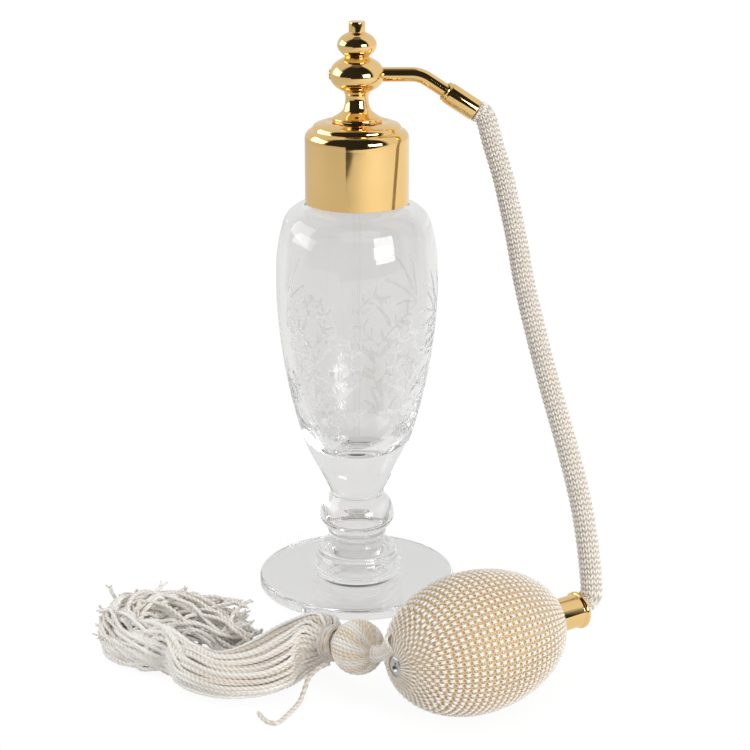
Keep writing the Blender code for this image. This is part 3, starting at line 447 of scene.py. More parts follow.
def add_node(tree, kind, inputs=()):
    """The outputs of a new node with its inputs filled."""
    return fill_sockets(tree, tree.nodes.new(kind), dict(inputs))


def link_math(tree, operation, *values):
    """The result of a sum on outputs or plain numbers."""
    node = tree.nodes.new("ShaderNodeMath")
    node.operation = operation
    return fill_sockets(tree, node, dict(enumerate(values)))["Value"]


def link_range(tree, value, start, stop, low, high, kind="SMOOTHSTEP"):
    """A run from low to high, outputs or plain numbers, as a value goes from start to stop."""
    node = tree.nodes.new("ShaderNodeMapRange")
    node.interpolation_type = kind
    bounds = {"Value": value, "From Min": start, "From Max": stop, "To Min": low, "To Max": high}
    return fill_sockets(tree, node, bounds)["Result"]


def link_noise(material, scale, detail=3.0, stretch=(1.0, 1.0, 1.0)):
    """A noise over the object's own coordinates; returns its 0 to 1 output."""
    tree = material.node_tree
    coords = add_node(tree, "ShaderNodeTexCoord")["Object"]
    spots = add_node(tree, "ShaderNodeMapping", {"Vector": coords, "Scale": stretch})["Vector"]
    return add_node(tree, "ShaderNodeTexNoise", {"Vector": spots, "Scale": scale, "Detail": detail})["Fac"]


def link_shader(material, socket, value):
    """Feed one of a material's shader inputs."""
    material.node_tree.links.new(value, material.node_tree.nodes["Principled BSDF"].inputs[socket])


def link_colour(material, driver, low, high, span=(0.3, 0.7)):
    """Base colour that runs from low to high with a driving output."""
    ramp = material.node_tree.nodes.new("ShaderNodeValToRGB")
    for stop, position, colour in zip(ramp.color_ramp.elements, span, (low, high)):
        stop.position = position
        stop.color = (*colour, 1.0)
    link_shader(material, "Base Color", fill_sockets(material.node_tree, ramp, {"Fac": driver})["Color"])


def link_roughness(material, driver, low, high):
    """Roughness that runs from low to high with a driving output."""
    rough = link_range(material.node_tree, driver, 0.3, 0.7, low, high, "LINEAR")
    link_shader(material, "Roughness", rough)


def link_bump(material, driver, strength, distance):
    """Fine relief from a driving output."""
    relief = {"Height": driver, "Strength": strength, "Distance": distance}
    link_shader(material, "Normal", add_node(material.node_tree, "ShaderNodeBump", relief)["Normal"])


def make_surface(name, low, high, rough, scales, **values):
    """A material whose colour and roughness drift a little over the piece."""
    material = new_material(name, **values)
    link_colour(material, link_noise(material, scales[0]), low, high)
    link_roughness(material, link_noise(material, scales[1]), *rough)
    return material


def make_metal(name, low, high, rough, scale, bump):
    """A metal with slight cloudiness, uneven polish and hairline marks."""
    material = new_material(name, Metallic=1.0)
    link_colour(material, link_noise(material, scale), low, high)
    link_roughness(material, link_noise(material, 4.0 * scale, 5.0), *rough)
    link_bump(material, link_noise(material, 9.0 * scale, 2.0, (1.0, 1.0, 0.15)), bump, 0.00003)
    return material


def make_yarn(name, low, high, rough, sheen):
    """Lustrous yarn whose colour drifts from cord to cord and along each one, and whose shade paints
    highlights on crests and shade in hollows.
    """
    material = new_material(name, Sheen_Weight=sheen, Sheen_Roughness=0.4, Specular_IOR_Level=0.6)
    tree = material.node_tree
    # The shade attribute paints light: high on crests as a painted highlight, low in hollows as painted
    # shade, mixed with the yarn's own tone
    shade = tree.nodes.new("ShaderNodeAttribute")
    shade.attribute_name = "shade"
    mixed = link_math(tree, "MULTIPLY_ADD", link_noise(material, 700.0, 4.0), 0.3, shade.outputs["Fac"])
    link_colour(material, mixed, low, high, (0.15, 1.0))
    link_roughness(material, link_noise(material, 900.0), *rough)
    link_bump(material, link_noise(material, 5200.0, 2.0), 0.25, 0.0001)
    return material


def make_materials():
    """One material for each kind of surface."""
    glass = make_surface(
        "clear_glass", (0.882, 0.876, 0.868), (0.894, 0.889, 0.882), (0.0, 0.012), (40.0, 200.0),
        Transmission_Weight=1.0, IOR=1.48,
    )
    link_bump(glass, link_noise(glass, 60.0, 1.0), 0.05, 0.0004)
    cut = make_surface(
        "cut_glass", (0.93, 0.93, 0.93), (1.0, 1.0, 1.0), (0.25, 0.4), (900.0, 1500.0),
        Transmission_Weight=0.8, IOR=1.45,
    )
    link_bump(cut, link_noise(cut, 2600.0), 0.3, 0.0001)
    gilt = ((0.86, 0.575, 0.225), (0.915, 0.635, 0.285), (0.045, 0.1), 60.0, 0.04)
    brass = ((0.62, 0.44, 0.19), (0.74, 0.55, 0.27), (0.28, 0.42), 90.0, 0.15)
    steel = ((0.46, 0.46, 0.45), (0.62, 0.62, 0.6), (0.25, 0.4), 120.0, 0.12)
    return {
        "glass": glass,
        "cut": cut,
        "gilt": make_metal("polished_gilt", *gilt),
        "brass": make_metal("plain_brass", *brass),
        "steel": make_metal("nickel_plate", *steel),
        "seal": make_surface(
            "seal_washer", (0.74, 0.71, 0.65), (0.82, 0.8, 0.74), (0.5, 0.7), (300.0, 700.0)
        ),
        "clear_plastic": make_surface(
            "clear_tube", (0.98, 0.98, 0.98), (1.0, 1.0, 1.0), (0.0, 0.03), (80.0, 300.0),
            Transmission_Weight=1.0, IOR=1.04,
        ),
        "rubber": make_surface(
            "tan_rubber", (0.84, 0.6, 0.28), (0.9, 0.68, 0.36), (0.42, 0.6), (70.0, 500.0),
            Specular_IOR_Level=0.35,
        ),
        # For each yarn the low colour serves its darker tone and painted shade in hollows, and the high
        # colour a painted highlight on crests
        "knit": make_yarn("ivory_knit", (0.36, 0.27, 0.18), (0.93, 0.89, 0.82), (0.25, 0.4), 0.2),
        "net": make_yarn("net_yarn", (0.78, 0.58, 0.34), (0.95, 0.93, 0.88), (0.16, 0.28), 0.15),
        "cord": make_yarn("ivory_cord", (0.6, 0.48, 0.35), (0.95, 0.92, 0.87), (0.14, 0.26), 0.2),
    }


# Pieces

def leaf_cut(across, along, start, turn, length, half_width, bow, depth):
    """Depth of a leaf-shaped groove at the given places on the unrolled glass, in mm."""
    side = across - start[0]
    rise = along - start[1]
    down = side * cos(turn) + rise * sin(turn)
    off = -side * sin(turn) + rise * cos(turn) - bow * down * (length - down) / length ** 2
    share = np.clip(down / length, 0.0, 1.0)
    width = half_width * np.sin(pi * share ** 0.8) + 1e-6
    inside = (down > 0.0) & (down < length)
    return np.where(inside, depth * np.clip(1.0 - np.abs(off) / width, 0.0, 1.0), 0.0)


def line_cut(across, along, line, half_width, depth):
    """Depth of a fine groove that follows a line of points on the unrolled glass, in mm."""
    best = np.full(across.shape, 1e9)
    for (x0, y0), (x1, y1) in zip(line, line[1:]):
        run = (x1 - x0) ** 2 + (y1 - y0) ** 2
        share = np.clip(((across - x0) * (x1 - x0) + (along - y0) * (y1 - y0)) / run, 0.0, 1.0)
        best = np.minimum(best, np.hypot(across - x0 - share * (x1 - x0), along - y0 - share * (y1 - y0)))
    return depth * np.clip(1.0 - best / half_width, 0.0, 1.0)


def spray_cut(across, along, mirror):
    """Depth of one leafy spray, in mm: tendrils with small leaves, a fan, broad leaves and long blades."""
    across = mirror * across
    depth = np.zeros(len(across))
    leaves = [(*leaf, CUT_DEPTH) for leaf in BROAD_LEAVES + BLADES]
    for corners in TENDRILS:
        line = smooth_profile(corners, 5)
        depth = np.maximum(depth, line_cut(across, along, line, 0.42, 0.08))
        for index in range(2, len(line) - 2, 3):
            (x0, y0), (x1, y1) = line[index], line[index + 1]
            lean = atan2(y1 - y0, x1 - x0)
            for side in (-1.0, 1.0):
                leaves.append(((x0, y0), lean + 0.9 * side, 4.6, 0.7, -1.5 * side, 0.09))
    for step in range(8):
        turn = 0.1 + 2.94 * step / 7
        leaves.append(((0.0, -5.0), turn, 8.0 + 3.0 * sin(turn), 1.1, 2.0, CUT_DEPTH))
    for leaf in leaves:
        depth = np.maximum(depth, leaf_cut(across, along, *leaf))
    return depth


def glass_profile():
    """The foot and stem, the body, and the neck with the hollow down to its floor, as three runs."""
    below = smooth_profile([(0.0, 2.2), (5.0, 2.0), (10.0, 1.2), (14.0, 0.0)], 6)
    below += softened([(14.5, 0.0), (30.5, 0.0, 0.6), (30.5, 3.2, 1.2), (27.5, 3.3)], 6)[:-1]
    below += smooth_profile([(29.3, 3.22), (24.0, 3.3), (18.0, 3.35), (14.4, 3.5), (13.1, 3.9)], 6)
    cushion = ((13.1, 3.9), (13.5, 5.0), (13.75, 6.8), (13.3, 9.0), (12.5, 10.6))
    dome = ((12.5, 10.6), (11.9, 12.0), (10.3, 13.1), (8.7, 13.6))
    waist = ((8.7, 13.6), (8.3, 15.0), (8.5, 16.5))
    ring = ((8.5, 16.5), (9.0, 17.0), (9.0, 17.8), (8.7, 18.3))
    knop = ((8.7, 18.3), (10.7, 20.3), (11.45, 22.7), (10.6, 26.5), (8.1, 29.8))
    collar = ((8.1, 29.8), (8.4, 30.3), (8.1, 30.9))
    for corners, steps in ((cushion, 6), (dome, 6), (waist, 6), (ring, 5), (knop, 10), (collar, 4)):
        below += smooth_profile(corners, steps)[1:]
    shares = ((0.0, 0.0), (0.2, 0.1), (0.46, 0.23), (0.66, 0.385), (0.81, 0.55), (0.91, 0.7), (0.975, 0.85))
    body = [(8.1 + wide * 16.2, 30.9 + high * 66.1) for wide, high in shares]
    body += [(24.3, 97.0), (23.936, 106.96), (21.87, 116.42), (18.954, 120.16), (15.066, SHOULDER_Z)]
    outside = [tuple(spot) for spot in even_points(body, 0.42)]
    neck = [(11.0, SHOULDER_Z), (11.0, RIM_Z - 0.4), (10.6, RIM_Z), (8.4, RIM_Z), (8.0, RIM_Z - 0.4)]
    hollow = smooth_profile([
        (8.0, 121.0), (13.98, 118.6), (19.44, 113.93), (21.3, 101.98), (20.98, 86.5),
        (18.53, 69.7), (14.27, 54.47), (8.52, 46.34), (0.0, 44.5),
    ], 8)
    return below, outside[1:], neck + hollow


def make_bottle(materials):
    """The glass with its cut sprays."""
    below, body, above = glass_profile()
    profile = below + body + above
    points, faces = turned_arrays(profile, GLASS_COLUMNS)
    radii = np.hypot(points[:, 0], points[:, 1])
    angles = np.arctan2(points[:, 1], points[:, 0])
    first = 1 + (len(below) - 1) * GLASS_COLUMNS
    zone = slice(first, first + len(body) * GLASS_COLUMNS)
    depth = np.zeros(len(points))
    for index in range(SPRAYS):
        swing = angles[zone] - SPRAY_HEADING - TURN * index / SPRAYS
        across = ((swing + pi) % TURN - pi) * np.maximum(radii[zone], 12.0)
        cut = spray_cut(across, points[zone, 2] - SPRAY_ROOT_Z, 1 - 2 * (index % 2))
        depth[zone] = np.maximum(depth[zone], cut)
    slopes = np.gradient(np.array(profile), axis=0)
    slopes /= np.linalg.norm(slopes, axis=1, keepdims=True)
    rows = (np.arange(len(points)) - 1) // GLASS_COLUMNS + 1
    rows = np.clip(rows, 0, len(profile) - 1)
    points -= round_spots(depth * slopes[rows, 1], angles, -depth * slopes[rows, 0])
    glass = add_mesh("bottle_glass", points, faces, materials["glass"], 50.0)
    glass.data.materials.append(materials["cut"])
    matt = [int(sum(depth[corner] for corner in face) > MATT_DEPTH) for face in faces]
    glass.data.polygons.foreach_set("material_index", matt)
    finish_piece(glass, "bottle", "glass", "glass_bottle")


def make_collar(materials):
    """The gilt shell that screws down over the neck."""
    low = SHOULDER_Z + 0.05
    shell = [(14.5, low), (15.3, low), (15.4, low + 0.1)]
    wall = ((15.4, 139.5), (15.4, 140.9), (15.3, 141.8), (14.95, 142.6), (14.4, 143.25), (13.6, 143.7))
    dome = ((13.25, 143.72), (13.1, 144.1), (12.95, 144.6), (12.5, 145.1), (11.6, 145.5), (9.7, 146.05))
    seat = ((9.4, 146.05), (9.0, 145.95), (8.5, 145.8))
    for corners, steps in ((wall, 6), (dome, 5), (seat, 3)):
        shell += smooth_profile(corners, steps)
    shell += [(5.3, 145.8), (5.3, COLLAR_CEILING_Z), (13.2, COLLAR_CEILING_Z)]
    shell.append((14.5, COLLAR_CEILING_Z - 1.2))
    add_turned(materials, "collar_shell", shell, 128, "collar", "gilt", "screw_collar")


def ellipse_profile(height, radius, half_height, start, stop, steps):
    """Profile points on an ellipse about the axis, by angles from its underside upwards."""
    spots = []
    for step in range(steps + 1):
        angle = start + (stop - start) * step / steps
        spots.append((radius * sin(angle), height - half_height * cos(angle)))
    return spots


def make_head(materials):
    """The gilt head, finial and nozzle, and the brass plate under the head."""
    turning = softened([
        (5.3, 145.9), (7.3, 145.9, 0.15), (7.3, 147.15, 0.3), (6.75, 147.3, 0.1),
    ])
    turning += smooth_profile([
        (6.7, 147.35), (5.1, 148.45), (4.15, 149.4), (3.65, 150.8), (3.4, 152.4), (3.45, 153.6),
        (3.75, 154.3),
    ], 6)
    top = pi - asin(3.7 / 8.1)
    turning += ellipse_profile(BALL_Z, 8.05, 5.6, asin(3.9 / 8.1), top, 40)
    turning += [
        (3.4, BALL_TOP_Z + 0.35), (1.9, BALL_TOP_Z + 0.35), (1.9, BALL_TOP_Z - 2.5),
        (1.15, BALL_TOP_Z - 2.5), (1.15, 147.1), (5.3, 147.1),
    ]
    add_turned(materials, "head_turning", turning, 96, "head", "gilt", "spray_head")
    cap = softened([
        (0.0, FINIAL_Z - 2.2), (1.6, FINIAL_Z - 2.2, 0.2), (1.6, FINIAL_Z + 0.1),
        (3.6, FINIAL_Z + 0.1, 0.1), (3.6, FINIAL_Z + 0.45, 0.1),
    ])
    top = pi - asin(2.6 / 5.8)
    cap += ellipse_profile(FINIAL_BALL_Z, 5.75, 3.95, asin(3.7 / 5.8), top, 30)
    stub_z = FINIAL_BALL_Z + 3.95 * sqrt(1.0 - (2.45 / 5.8) ** 2)
    cap += softened([(2.4, stub_z + 0.1, 0.1), (2.4, TOP_Z, 0.5), (0.0, TOP_Z)], 6)
    add_turned(materials, "finial_turning", cap, 80, "head", "gilt", "finial_cap")
    nozzle = softened([
        (0.45, 2.65), (1.5, 2.65), (1.5, 8.0), (1.25, 8.2, 0.2), (0.8, 8.2, 0.1),
        (0.45, 8.0, 0.05),
    ])
    place = frame_along(Vector((0.0, 0.0, BALL_Z)), Vector((-1.0, 0.0, 0.0)), UP)
    add_turned(materials, "nozzle_tip", nozzle, 40, "head", "gilt", "spray_nozzle", place)
    plate = softened([
        (1.75, 131.0), (3.2, 131.0, 0.3), (3.2, 140.6, 0.1), (11.8, 140.6, 0.2), (11.8, 141.6, 0.2),
        (5.0, 141.6, 0.1), (5.0, 146.9, 0.3), (1.15, 146.9), (1.15, 138.8), (1.75, 138.8),
    ], 3)
    add_turned(materials, "stem_turning", plate, 80, "head", "brass", "stem_plate")


def arm_bend(angle):
    """A point on the middle line of the arm's bend."""
    out = ARM_BEND_X + ARM_BEND_RADIUS * sin(angle)
    return Vector((out, 0.0, BALL_Z - ARM_BEND_RADIUS * (1.0 - cos(angle))))


def ferrule_base():
    """Where the arm enters its ferrule."""
    return arm_bend(ARM_DROOP) + ARM_RUN * ARM_AIM


def make_arm(materials):
    """The bent air tube and the ferrule that holds the hose."""
    spots = [(3.0, 0.0, BALL_Z), (9.0, 0.0, BALL_Z)]
    spots += [tuple(arm_bend(ARM_DROOP * step / 24)) for step in range(25)]
    base = ferrule_base()
    spots += [tuple(base), tuple(base + 9.0 * ARM_AIM)]
    points, faces = tube_along(np.array(spots), np.full((len(spots), 32), ARM_RADIUS))
    arm = add_mesh("arm_tube", points, faces, materials["gilt"], 50.0)
    finish_piece(arm, "head", "gilt", "air_arm")
    stop = FERRULE_LENGTH - 0.9
    sleeve = softened([
        (2.4, 0.0), (2.75, 0.0, 0.15), (3.0, 0.55, 0.2), (2.85, 0.95, 0.12),
        (FERRULE_RADIUS, 1.35, 0.2), (FERRULE_RADIUS, FERRULE_LENGTH, 0.2), (2.9, FERRULE_LENGTH, 0.1),
        (2.9, stop), (2.4, stop),
    ])
    place = frame_along(base, ARM_AIM, Vector((0.0, 1.0, 0.0)))
    add_turned(materials, "arm_sleeve", sleeve, 64, "head", "gilt", "arm_ferrule", place)


def along_bulb(distance, up=0.0):
    """A point by its distance along the bulb's axis and its height over it."""
    return BULB_CENTRE + distance * BULB_AIM + up * UP


def make_hose(materials):
    """The braided hose."""
    start = ferrule_base() + (FERRULE_LENGTH + GAP) * ARM_AIM
    bend_start = BULB_FERRULE_START + BULB_FERRULE_LENGTH - HOSE_ENTRY + HOSE_STRAIGHT
    route = [start, start + HOSE_STEP * ARM_AIM, *HOSE_ROUTE]
    for degrees in HOSE_BEND_ANGLES:
        angle = radians(degrees)
        out = bend_start + HOSE_BEND_RADIUS * sin(angle)
        route.append(along_bulb(out, HOSE_BEND_RADIUS * (1.0 - cos(angle))))
    route.append(along_bulb(bend_start - HOSE_STRAIGHT))
    line = even_points(route, HOSE_SPACING)
    travel = np.arange(len(line))[:, None] * HOSE_SPACING
    wale = np.arange(HOSE_WALES * HOSE_WALE_SIDES)[None, :] / HOSE_WALE_SIDES
    # Stitches lean left and right by turns and swell in their middle; the hose narrows at its ends
    part = wale - np.floor(wale) - 0.4
    lean = np.where(np.floor(wale) % 2 == 0, 1.0, -1.0)
    phase = travel / HOSE_STITCH + lean * part * 0.6
    lobe = np.abs(np.cos(pi * phase)) ** 0.8 * np.cos(pi * part) ** 0.7
    ends = np.minimum(1.0, np.minimum(travel, travel[-1] - travel) / 1.6 + 0.55)
    radii = (HOSE_RADIUS - 0.46 + 0.56 * lobe) * (0.86 + 0.14 * ends)
    points, faces = tube_along(line, radii)
    hose = add_mesh("braided_hose", points, faces, materials["knit"])
    # Painted highlights on the stitches' crests and painted shade in the gaps between them
    mark(hose, "shade", np.clip(1.15 * lobe, 0.0, 1.0).ravel())
    finish_piece(hose, "head", "knit", "air_hose")


def egg_halves(egg, angles):
    """The half length of an egg on the tail's side of its middle and on the neck's side."""
    return np.where(angles < pi / 2, egg[1], egg[2])


def egg_angles(egg, tail, front):
    """Angles of evenly spaced spots along an egg's outline, from its tail to its neck."""
    angles = np.linspace(tail, front, 900)
    heights = -egg_halves(egg, angles) * np.cos(angles)
    lengths = lengths_along(np.column_stack([egg[0] * np.sin(angles), heights]))
    return np.interp(np.linspace(0.0, lengths[-1], NET_COURSES * NET_SAMPLES + 1), lengths, angles)


def net_tube(bundle, egg, angles, around, lift, width, shade, place):
    """One yarn of the net, laid on an egg at the given heights above its surface."""
    halves = egg_halves(egg, angles)
    out = np.column_stack([np.sin(angles) / egg[0], -np.cos(angles) / halves])
    out /= np.linalg.norm(out, axis=1, keepdims=True)
    reach = egg[0] * np.sin(angles) + lift * out[:, 0]
    heights = -halves * np.cos(angles) + lift * out[:, 1]
    local = round_spots(reach, around, heights)
    normals = round_spots(out[:, 0], around, out[:, 1])
    points, faces = tube_arrays(local, normals, np.repeat(width[:, None], NET_YARN_SIDES, axis=1))
    bundle.add(placed(points, place), faces, np.repeat(shade, NET_YARN_SIDES))


def net_half(bundle, egg, angles, first, place):
    """Half a net: its wales, two yarns to each, and the yarn that crosses under every course."""
    last = first + NET_WALES // 2
    ring = egg[0] * np.sin(angles)
    spread = TURN * ring / NET_WALES
    thick = np.minimum(NET_YARN, 0.19 * spread)
    # Where the net is gathered, every other wale stands proud, half a stitch along
    gather = 1.0 - np.clip((spread - 0.4) / 0.6, 0.0, 1.0)
    stagger = 0.5 * np.clip((1.5 - spread) / 0.4, 0.0, 1.0)
    for wale in range(first, last):
        odd = wale % 2
        proud = 1.0 - 2.0 * odd
        course = np.arange(len(angles)) / NET_SAMPLES + odd * stagger
        part = 0.5 - 0.5 * (1.0 - 0.6 * gather) * np.cos(TURN * course)
        sway = 0.45 * thick + (0.36 * spread - 0.45 * thick) * part
        lift = thick * (1.5 - 1.8 * part + 0.8 * proud * gather)
        width = thick * (1.2 - 0.4 * part + 0.3 * proud * gather)
        # Painted highlights on each stitch's crest and painted shade in its valleys; where the net is
        # gathered, proud wales are painted lighter and sunk ones darker as painted shade
        shade = 0.06 + 1.05 * (1.0 - part) ** 1.7 + (0.2 + 0.4 * proud) * gather
        for side in (-1.0, 1.0):
            around = (wale + 0.5) * TURN / NET_WALES + side * sway / ring
            net_tube(bundle, egg, angles, around, lift, width, shade, place)
    steps = np.linspace(first, last, (last - first) * 6 + 1)
    knot = 0.5 + 0.5 * np.cos(TURN * steps)
    around = steps * TURN / NET_WALES
    for row in range(0, len(angles), NET_SAMPLES):
        level = np.full(len(steps), angles[row])
        lift = thick[row] * (0.5 * knot - 0.3)
        width = thick[row] * (0.65 + 0.25 * knot)
        # The crossing yarn is painted darker where it passes under the wales, as painted shade
        net_tube(bundle, egg, level, around, lift, width, 0.1 + 0.3 * knot, place)


def make_bulb(materials):
    """The rubber egg and its net, each in an upper and a lower half, and the ferrule."""
    place = frame_along(BULB_CENTRE, BULB_AIM, BULB_SIDE)
    inset = 2.2 * NET_YARN
    egg = tuple(size - inset for size in (BULB_RADIUS, BULB_TAIL_LENGTH, BULB_FRONT_LENGTH))
    tail = asin(VALVE_HOLE_RADIUS / BULB_RADIUS)
    angles = egg_angles(egg, tail, pi - asin(NET_NECK_RADIUS / BULB_RADIUS))
    skin_radius, skin_tail, skin_front = (size - 0.9 * NET_YARN for size in egg)
    tail = asin(VALVE_HOLE_RADIUS / skin_radius)
    neck = pi - asin(SKIN_NECK_RADIUS / skin_radius)
    outline = ellipse_profile(0.0, skin_radius, skin_tail, tail, 0.5 * pi, 30)
    outline += ellipse_profile(0.0, skin_radius, skin_front, 0.5 * pi, neck, 30)[1:]
    end = BULB_FERRULE_START + SKIN_NECK_REACH
    outline += [(SKIN_NECK_RADIUS, end), (0.0, end), *VALVE_RECESS]
    for half, first in (("upper", 0), ("lower", NET_WALES // 2)):
        points, faces = turned_arrays(outline, 64, pi)
        if half == "lower":
            points = points * np.array((-1.0, -1.0, 1.0))
        skin = add_mesh("rubber_" + half, placed(points, place), faces, materials["rubber"], 60.0)
        loops = Bundle()
        net_half(loops, egg, angles, first, place)
        net = loops.finish("net_" + half, materials["net"])
        finish_piece(skin, "head", "rubber", "rubber_bulb_" + half)
        finish_piece(net, "head", "knit", "bulb_net")
        if half == "upper":
            for piece in (skin, net):
                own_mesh(piece)
    tuck = BULB_FERRULE_START - 1.9
    rim = BULB_FERRULE_START + BULB_FERRULE_LENGTH
    sleeve = softened([
        (4.2, tuck, 0.05), (BULB_FERRULE_RADIUS, tuck, 0.2), (BULB_FERRULE_RADIUS, rim - 1.75, 0.12),
        (4.85, rim - 1.5, 0.2), (5.25, rim - 1.2, 0.3), (5.25, rim - 0.3, 0.3), (4.75, rim, 0.3),
        (4.2, rim - 0.2, 0.15),
    ], 5)
    add_turned(materials, "bulb_sleeve", sleeve, 72, "head", "gilt", "bulb_ferrule", place)


def make_valve(materials):
    """The dull metal plug at the bulb's tail, under the net."""
    outer = -VALVE_FACE
    plug = softened([
        (0.9, outer + 0.5, 0.1), (1.4, outer, 0.2), (2.2, outer, 0.3), (2.5, outer + 0.25, 0.1),
        (3.3, outer + 0.3, 0.2), (3.4, outer + 0.75, 0.1), (2.6, outer + 0.8, 0.1), (2.6, outer + 5.0),
        (2.0, outer + 5.0), (2.0, outer + 1.5), (0.9, outer + 1.4),
    ])
    place = frame_along(BULB_CENTRE, BULB_AIM, BULB_SIDE)
    add_turned(materials, "valve_plug", plug[::-1], 64, "head", "steel", "intake_valve_body", place)


def twisted_cord(line, radius, pitch, swell=0.16, sides=CORD_SIDES, spacing=CORD_SPACING):
    """A cord of two twisted plies along evenly spaced points, and how high each point stands on a ply."""
    travel = np.arange(len(line))[:, None] * spacing
    angles = np.arange(sides)[None, :] * TURN / sides
    thick = np.broadcast_to(np.asarray(radius, float), (len(line),))[:, None]
    crest = np.cos(2 * angles - TURN * travel / pitch)
    points, faces = tube_along(line, thick * (1.0 - swell * 0.6 + swell * crest))
    return points, faces, crest.ravel()


def make_tassel_neck(materials):
    """The short bunch of yarn that ties the tassel to the net."""
    line = even_points(NECK_ROUTE, CORD_SPACING)
    normals = carried_normals(tangents_of(line))
    sideways = np.cross(tangents_of(line), normals)
    share = np.linspace(0.0, 1.0, len(line))
    spread = (1.5 + 1.1 * (2.0 * share - 1.0) ** 2)[:, None]
    gather = Bundle()
    for strand in range(NECK_STRANDS):
        turn = (TURN * strand / NECK_STRANDS + 0.8 * share)[:, None]
        spots = line + spread * (np.cos(turn) * normals + np.sin(turn) * sideways)
        points, faces, crest = twisted_cord(spots, 0.55, 1.8)
        # Ply crests get painted highlights and grooves painted shade; each strand's own tone is one of four
        gather.add(points, faces, 0.45 + 0.1 * (strand % 4) + 0.25 * crest)
    neck = gather.finish("tassel_gather", materials["cord"])
    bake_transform(neck)
    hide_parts("tassel_neck")


def make_tassel_head(materials):
    """The tassel's ball under its cover of cords."""
    place = frame_along(TASSEL_BALL, TASSEL_AIM, UP)
    inner = TASSEL_BALL_RADIUS - 0.6
    waist_angle = pi - asin(TASSEL_WAIST_RADIUS / inner)
    core = ellipse_profile(0.0, inner - 0.1, inner - 0.1, 0.0, waist_angle, 30)
    core += [(TASSEL_WAIST_RADIUS - 0.5, TASSEL_WAIST_END), (0.0, TASSEL_WAIST_END)]
    ball = add_turned(materials, "tassel_core", core, 48, "tassel", "knit", "tassel_head", place)
    mark(ball, "shade", np.full(len(ball.data.vertices), 0.3))
    cover = Bundle()
    for strand in range(COVER_STRANDS):
        first = TURN * strand / COVER_STRANDS
        spots = []
        for step in range(15):
            angle = COVER_START + (waist_angle - COVER_START) * step / 14
            turn = first + 0.22 * sin(angle - COVER_START) + 0.12 * angle
            spots.append(round_spot(inner * sin(angle), turn, -inner * cos(angle)))
        turn = first + 0.12 * waist_angle
        for height in (BINDING_START + 1.0, TASSEL_WAIST_END - 0.2):
            spots.append(round_spot(TASSEL_WAIST_RADIUS - 0.25, turn, height))
        line = even_points(spots, COVER_SPACING)
        ring = np.hypot(line[:, 0], line[:, 1])
        thick = np.minimum(0.66, 1.15 * pi * ring / COVER_STRANDS)
        pitch = 1.5 + 0.3 * sin(7.3 * strand)
        points, faces, crest = twisted_cord(line, thick, pitch, spacing=COVER_SPACING)
        # Ply crests get painted highlights and grooves painted shade, over each strand's own tone
        cover.add(placed(points, place), faces, 0.6 + 0.25 * sin(5.1 * strand) + 0.3 * crest)
    finish_piece(cover.finish("tassel_cover", materials["net"]), "tassel", "knit", "tassel_head")


def make_binding(materials):
    """The cord wound round the tassel's waist."""
    place = frame_along(TASSEL_BALL, TASSEL_AIM, UP)
    wrap = Bundle()
    for strand, offset in enumerate((-1.5, -0.8, -0.1, 0.6)):
        spots = []
        for step in range(round(BINDING_STEPS * BINDING_TURNS) + 1):
            turn = TURN * step / BINDING_STEPS
            height = BINDING_START + offset + BINDING_PITCH * step / BINDING_STEPS
            swell = TASSEL_WAIST_RADIUS + GAP + 0.5 + 0.25 * sin(1.3 * turn + 2.0 * strand)
            spots.append(round_spot(swell, turn, height))
        points, faces, crest = twisted_cord(even_points(spots, CORD_SPACING), 0.55, 3.0, 0.06)
        # Ply crests get painted highlights and grooves painted shade; the strands get lighter one by one
        # away from the ball
        wrap.add(placed(points, place), faces, 0.3 + 0.12 * strand + 0.15 * crest)
    finish_piece(wrap.finish("tassel_wrap", materials["cord"]), "tassel", "cord", "tassel_binding")


def skirt_sections():
    """Middle, across, up, half width and half height of each section, from the waist outwards."""
    start = TASSEL_BALL + (TASSEL_WAIST_END - 2.0) * TASSEL_AIM
    across = UP.cross(TASSEL_AIM).normalized()
    sections = [(start, across, TASSEL_AIM.cross(across), TASSEL_WAIST_RADIUS, TASSEL_WAIST_RADIUS)]
    for x, y, z, degrees, half_width, half_height in SKIRT_SECTIONS:
        turn = radians(degrees)
        heading = Vector((cos(turn), sin(turn), 0.0))
        across = UP.cross(heading)
        sections.append((Vector((x, y, z)), across, heading.cross(across), half_width, half_height))
    return sections


def add_frays(cords, line, tint, pick):
    """The loosened fibres at a cord's cut end."""
    ahead = line[-1] - line[-6]
    ahead = Vector(ahead / np.linalg.norm(ahead))
    start = Vector(line[-3])
    for _ in range(3):
        veer = Vector((pick.uniform(-1.0, 1.0), pick.uniform(-1.0, 1.0), pick.uniform(-0.6, 1.0)))
        length = pick.uniform(1.0, 2.4)
        middle = start + 0.4 * length * ahead + 0.15 * length * veer
        fine = even_points([start, middle, start + length * (ahead + 0.5 * veer)], 0.4)
        fine[:, 2] = np.maximum(fine[:, 2], 0.4)
        cords.add(*tube_along(fine, np.full((len(fine), 5), 0.27)), tint)


def clamped(value, low=0.0, high=1.0):
    """A value kept between two bounds."""
    return min(high, max(low, value))


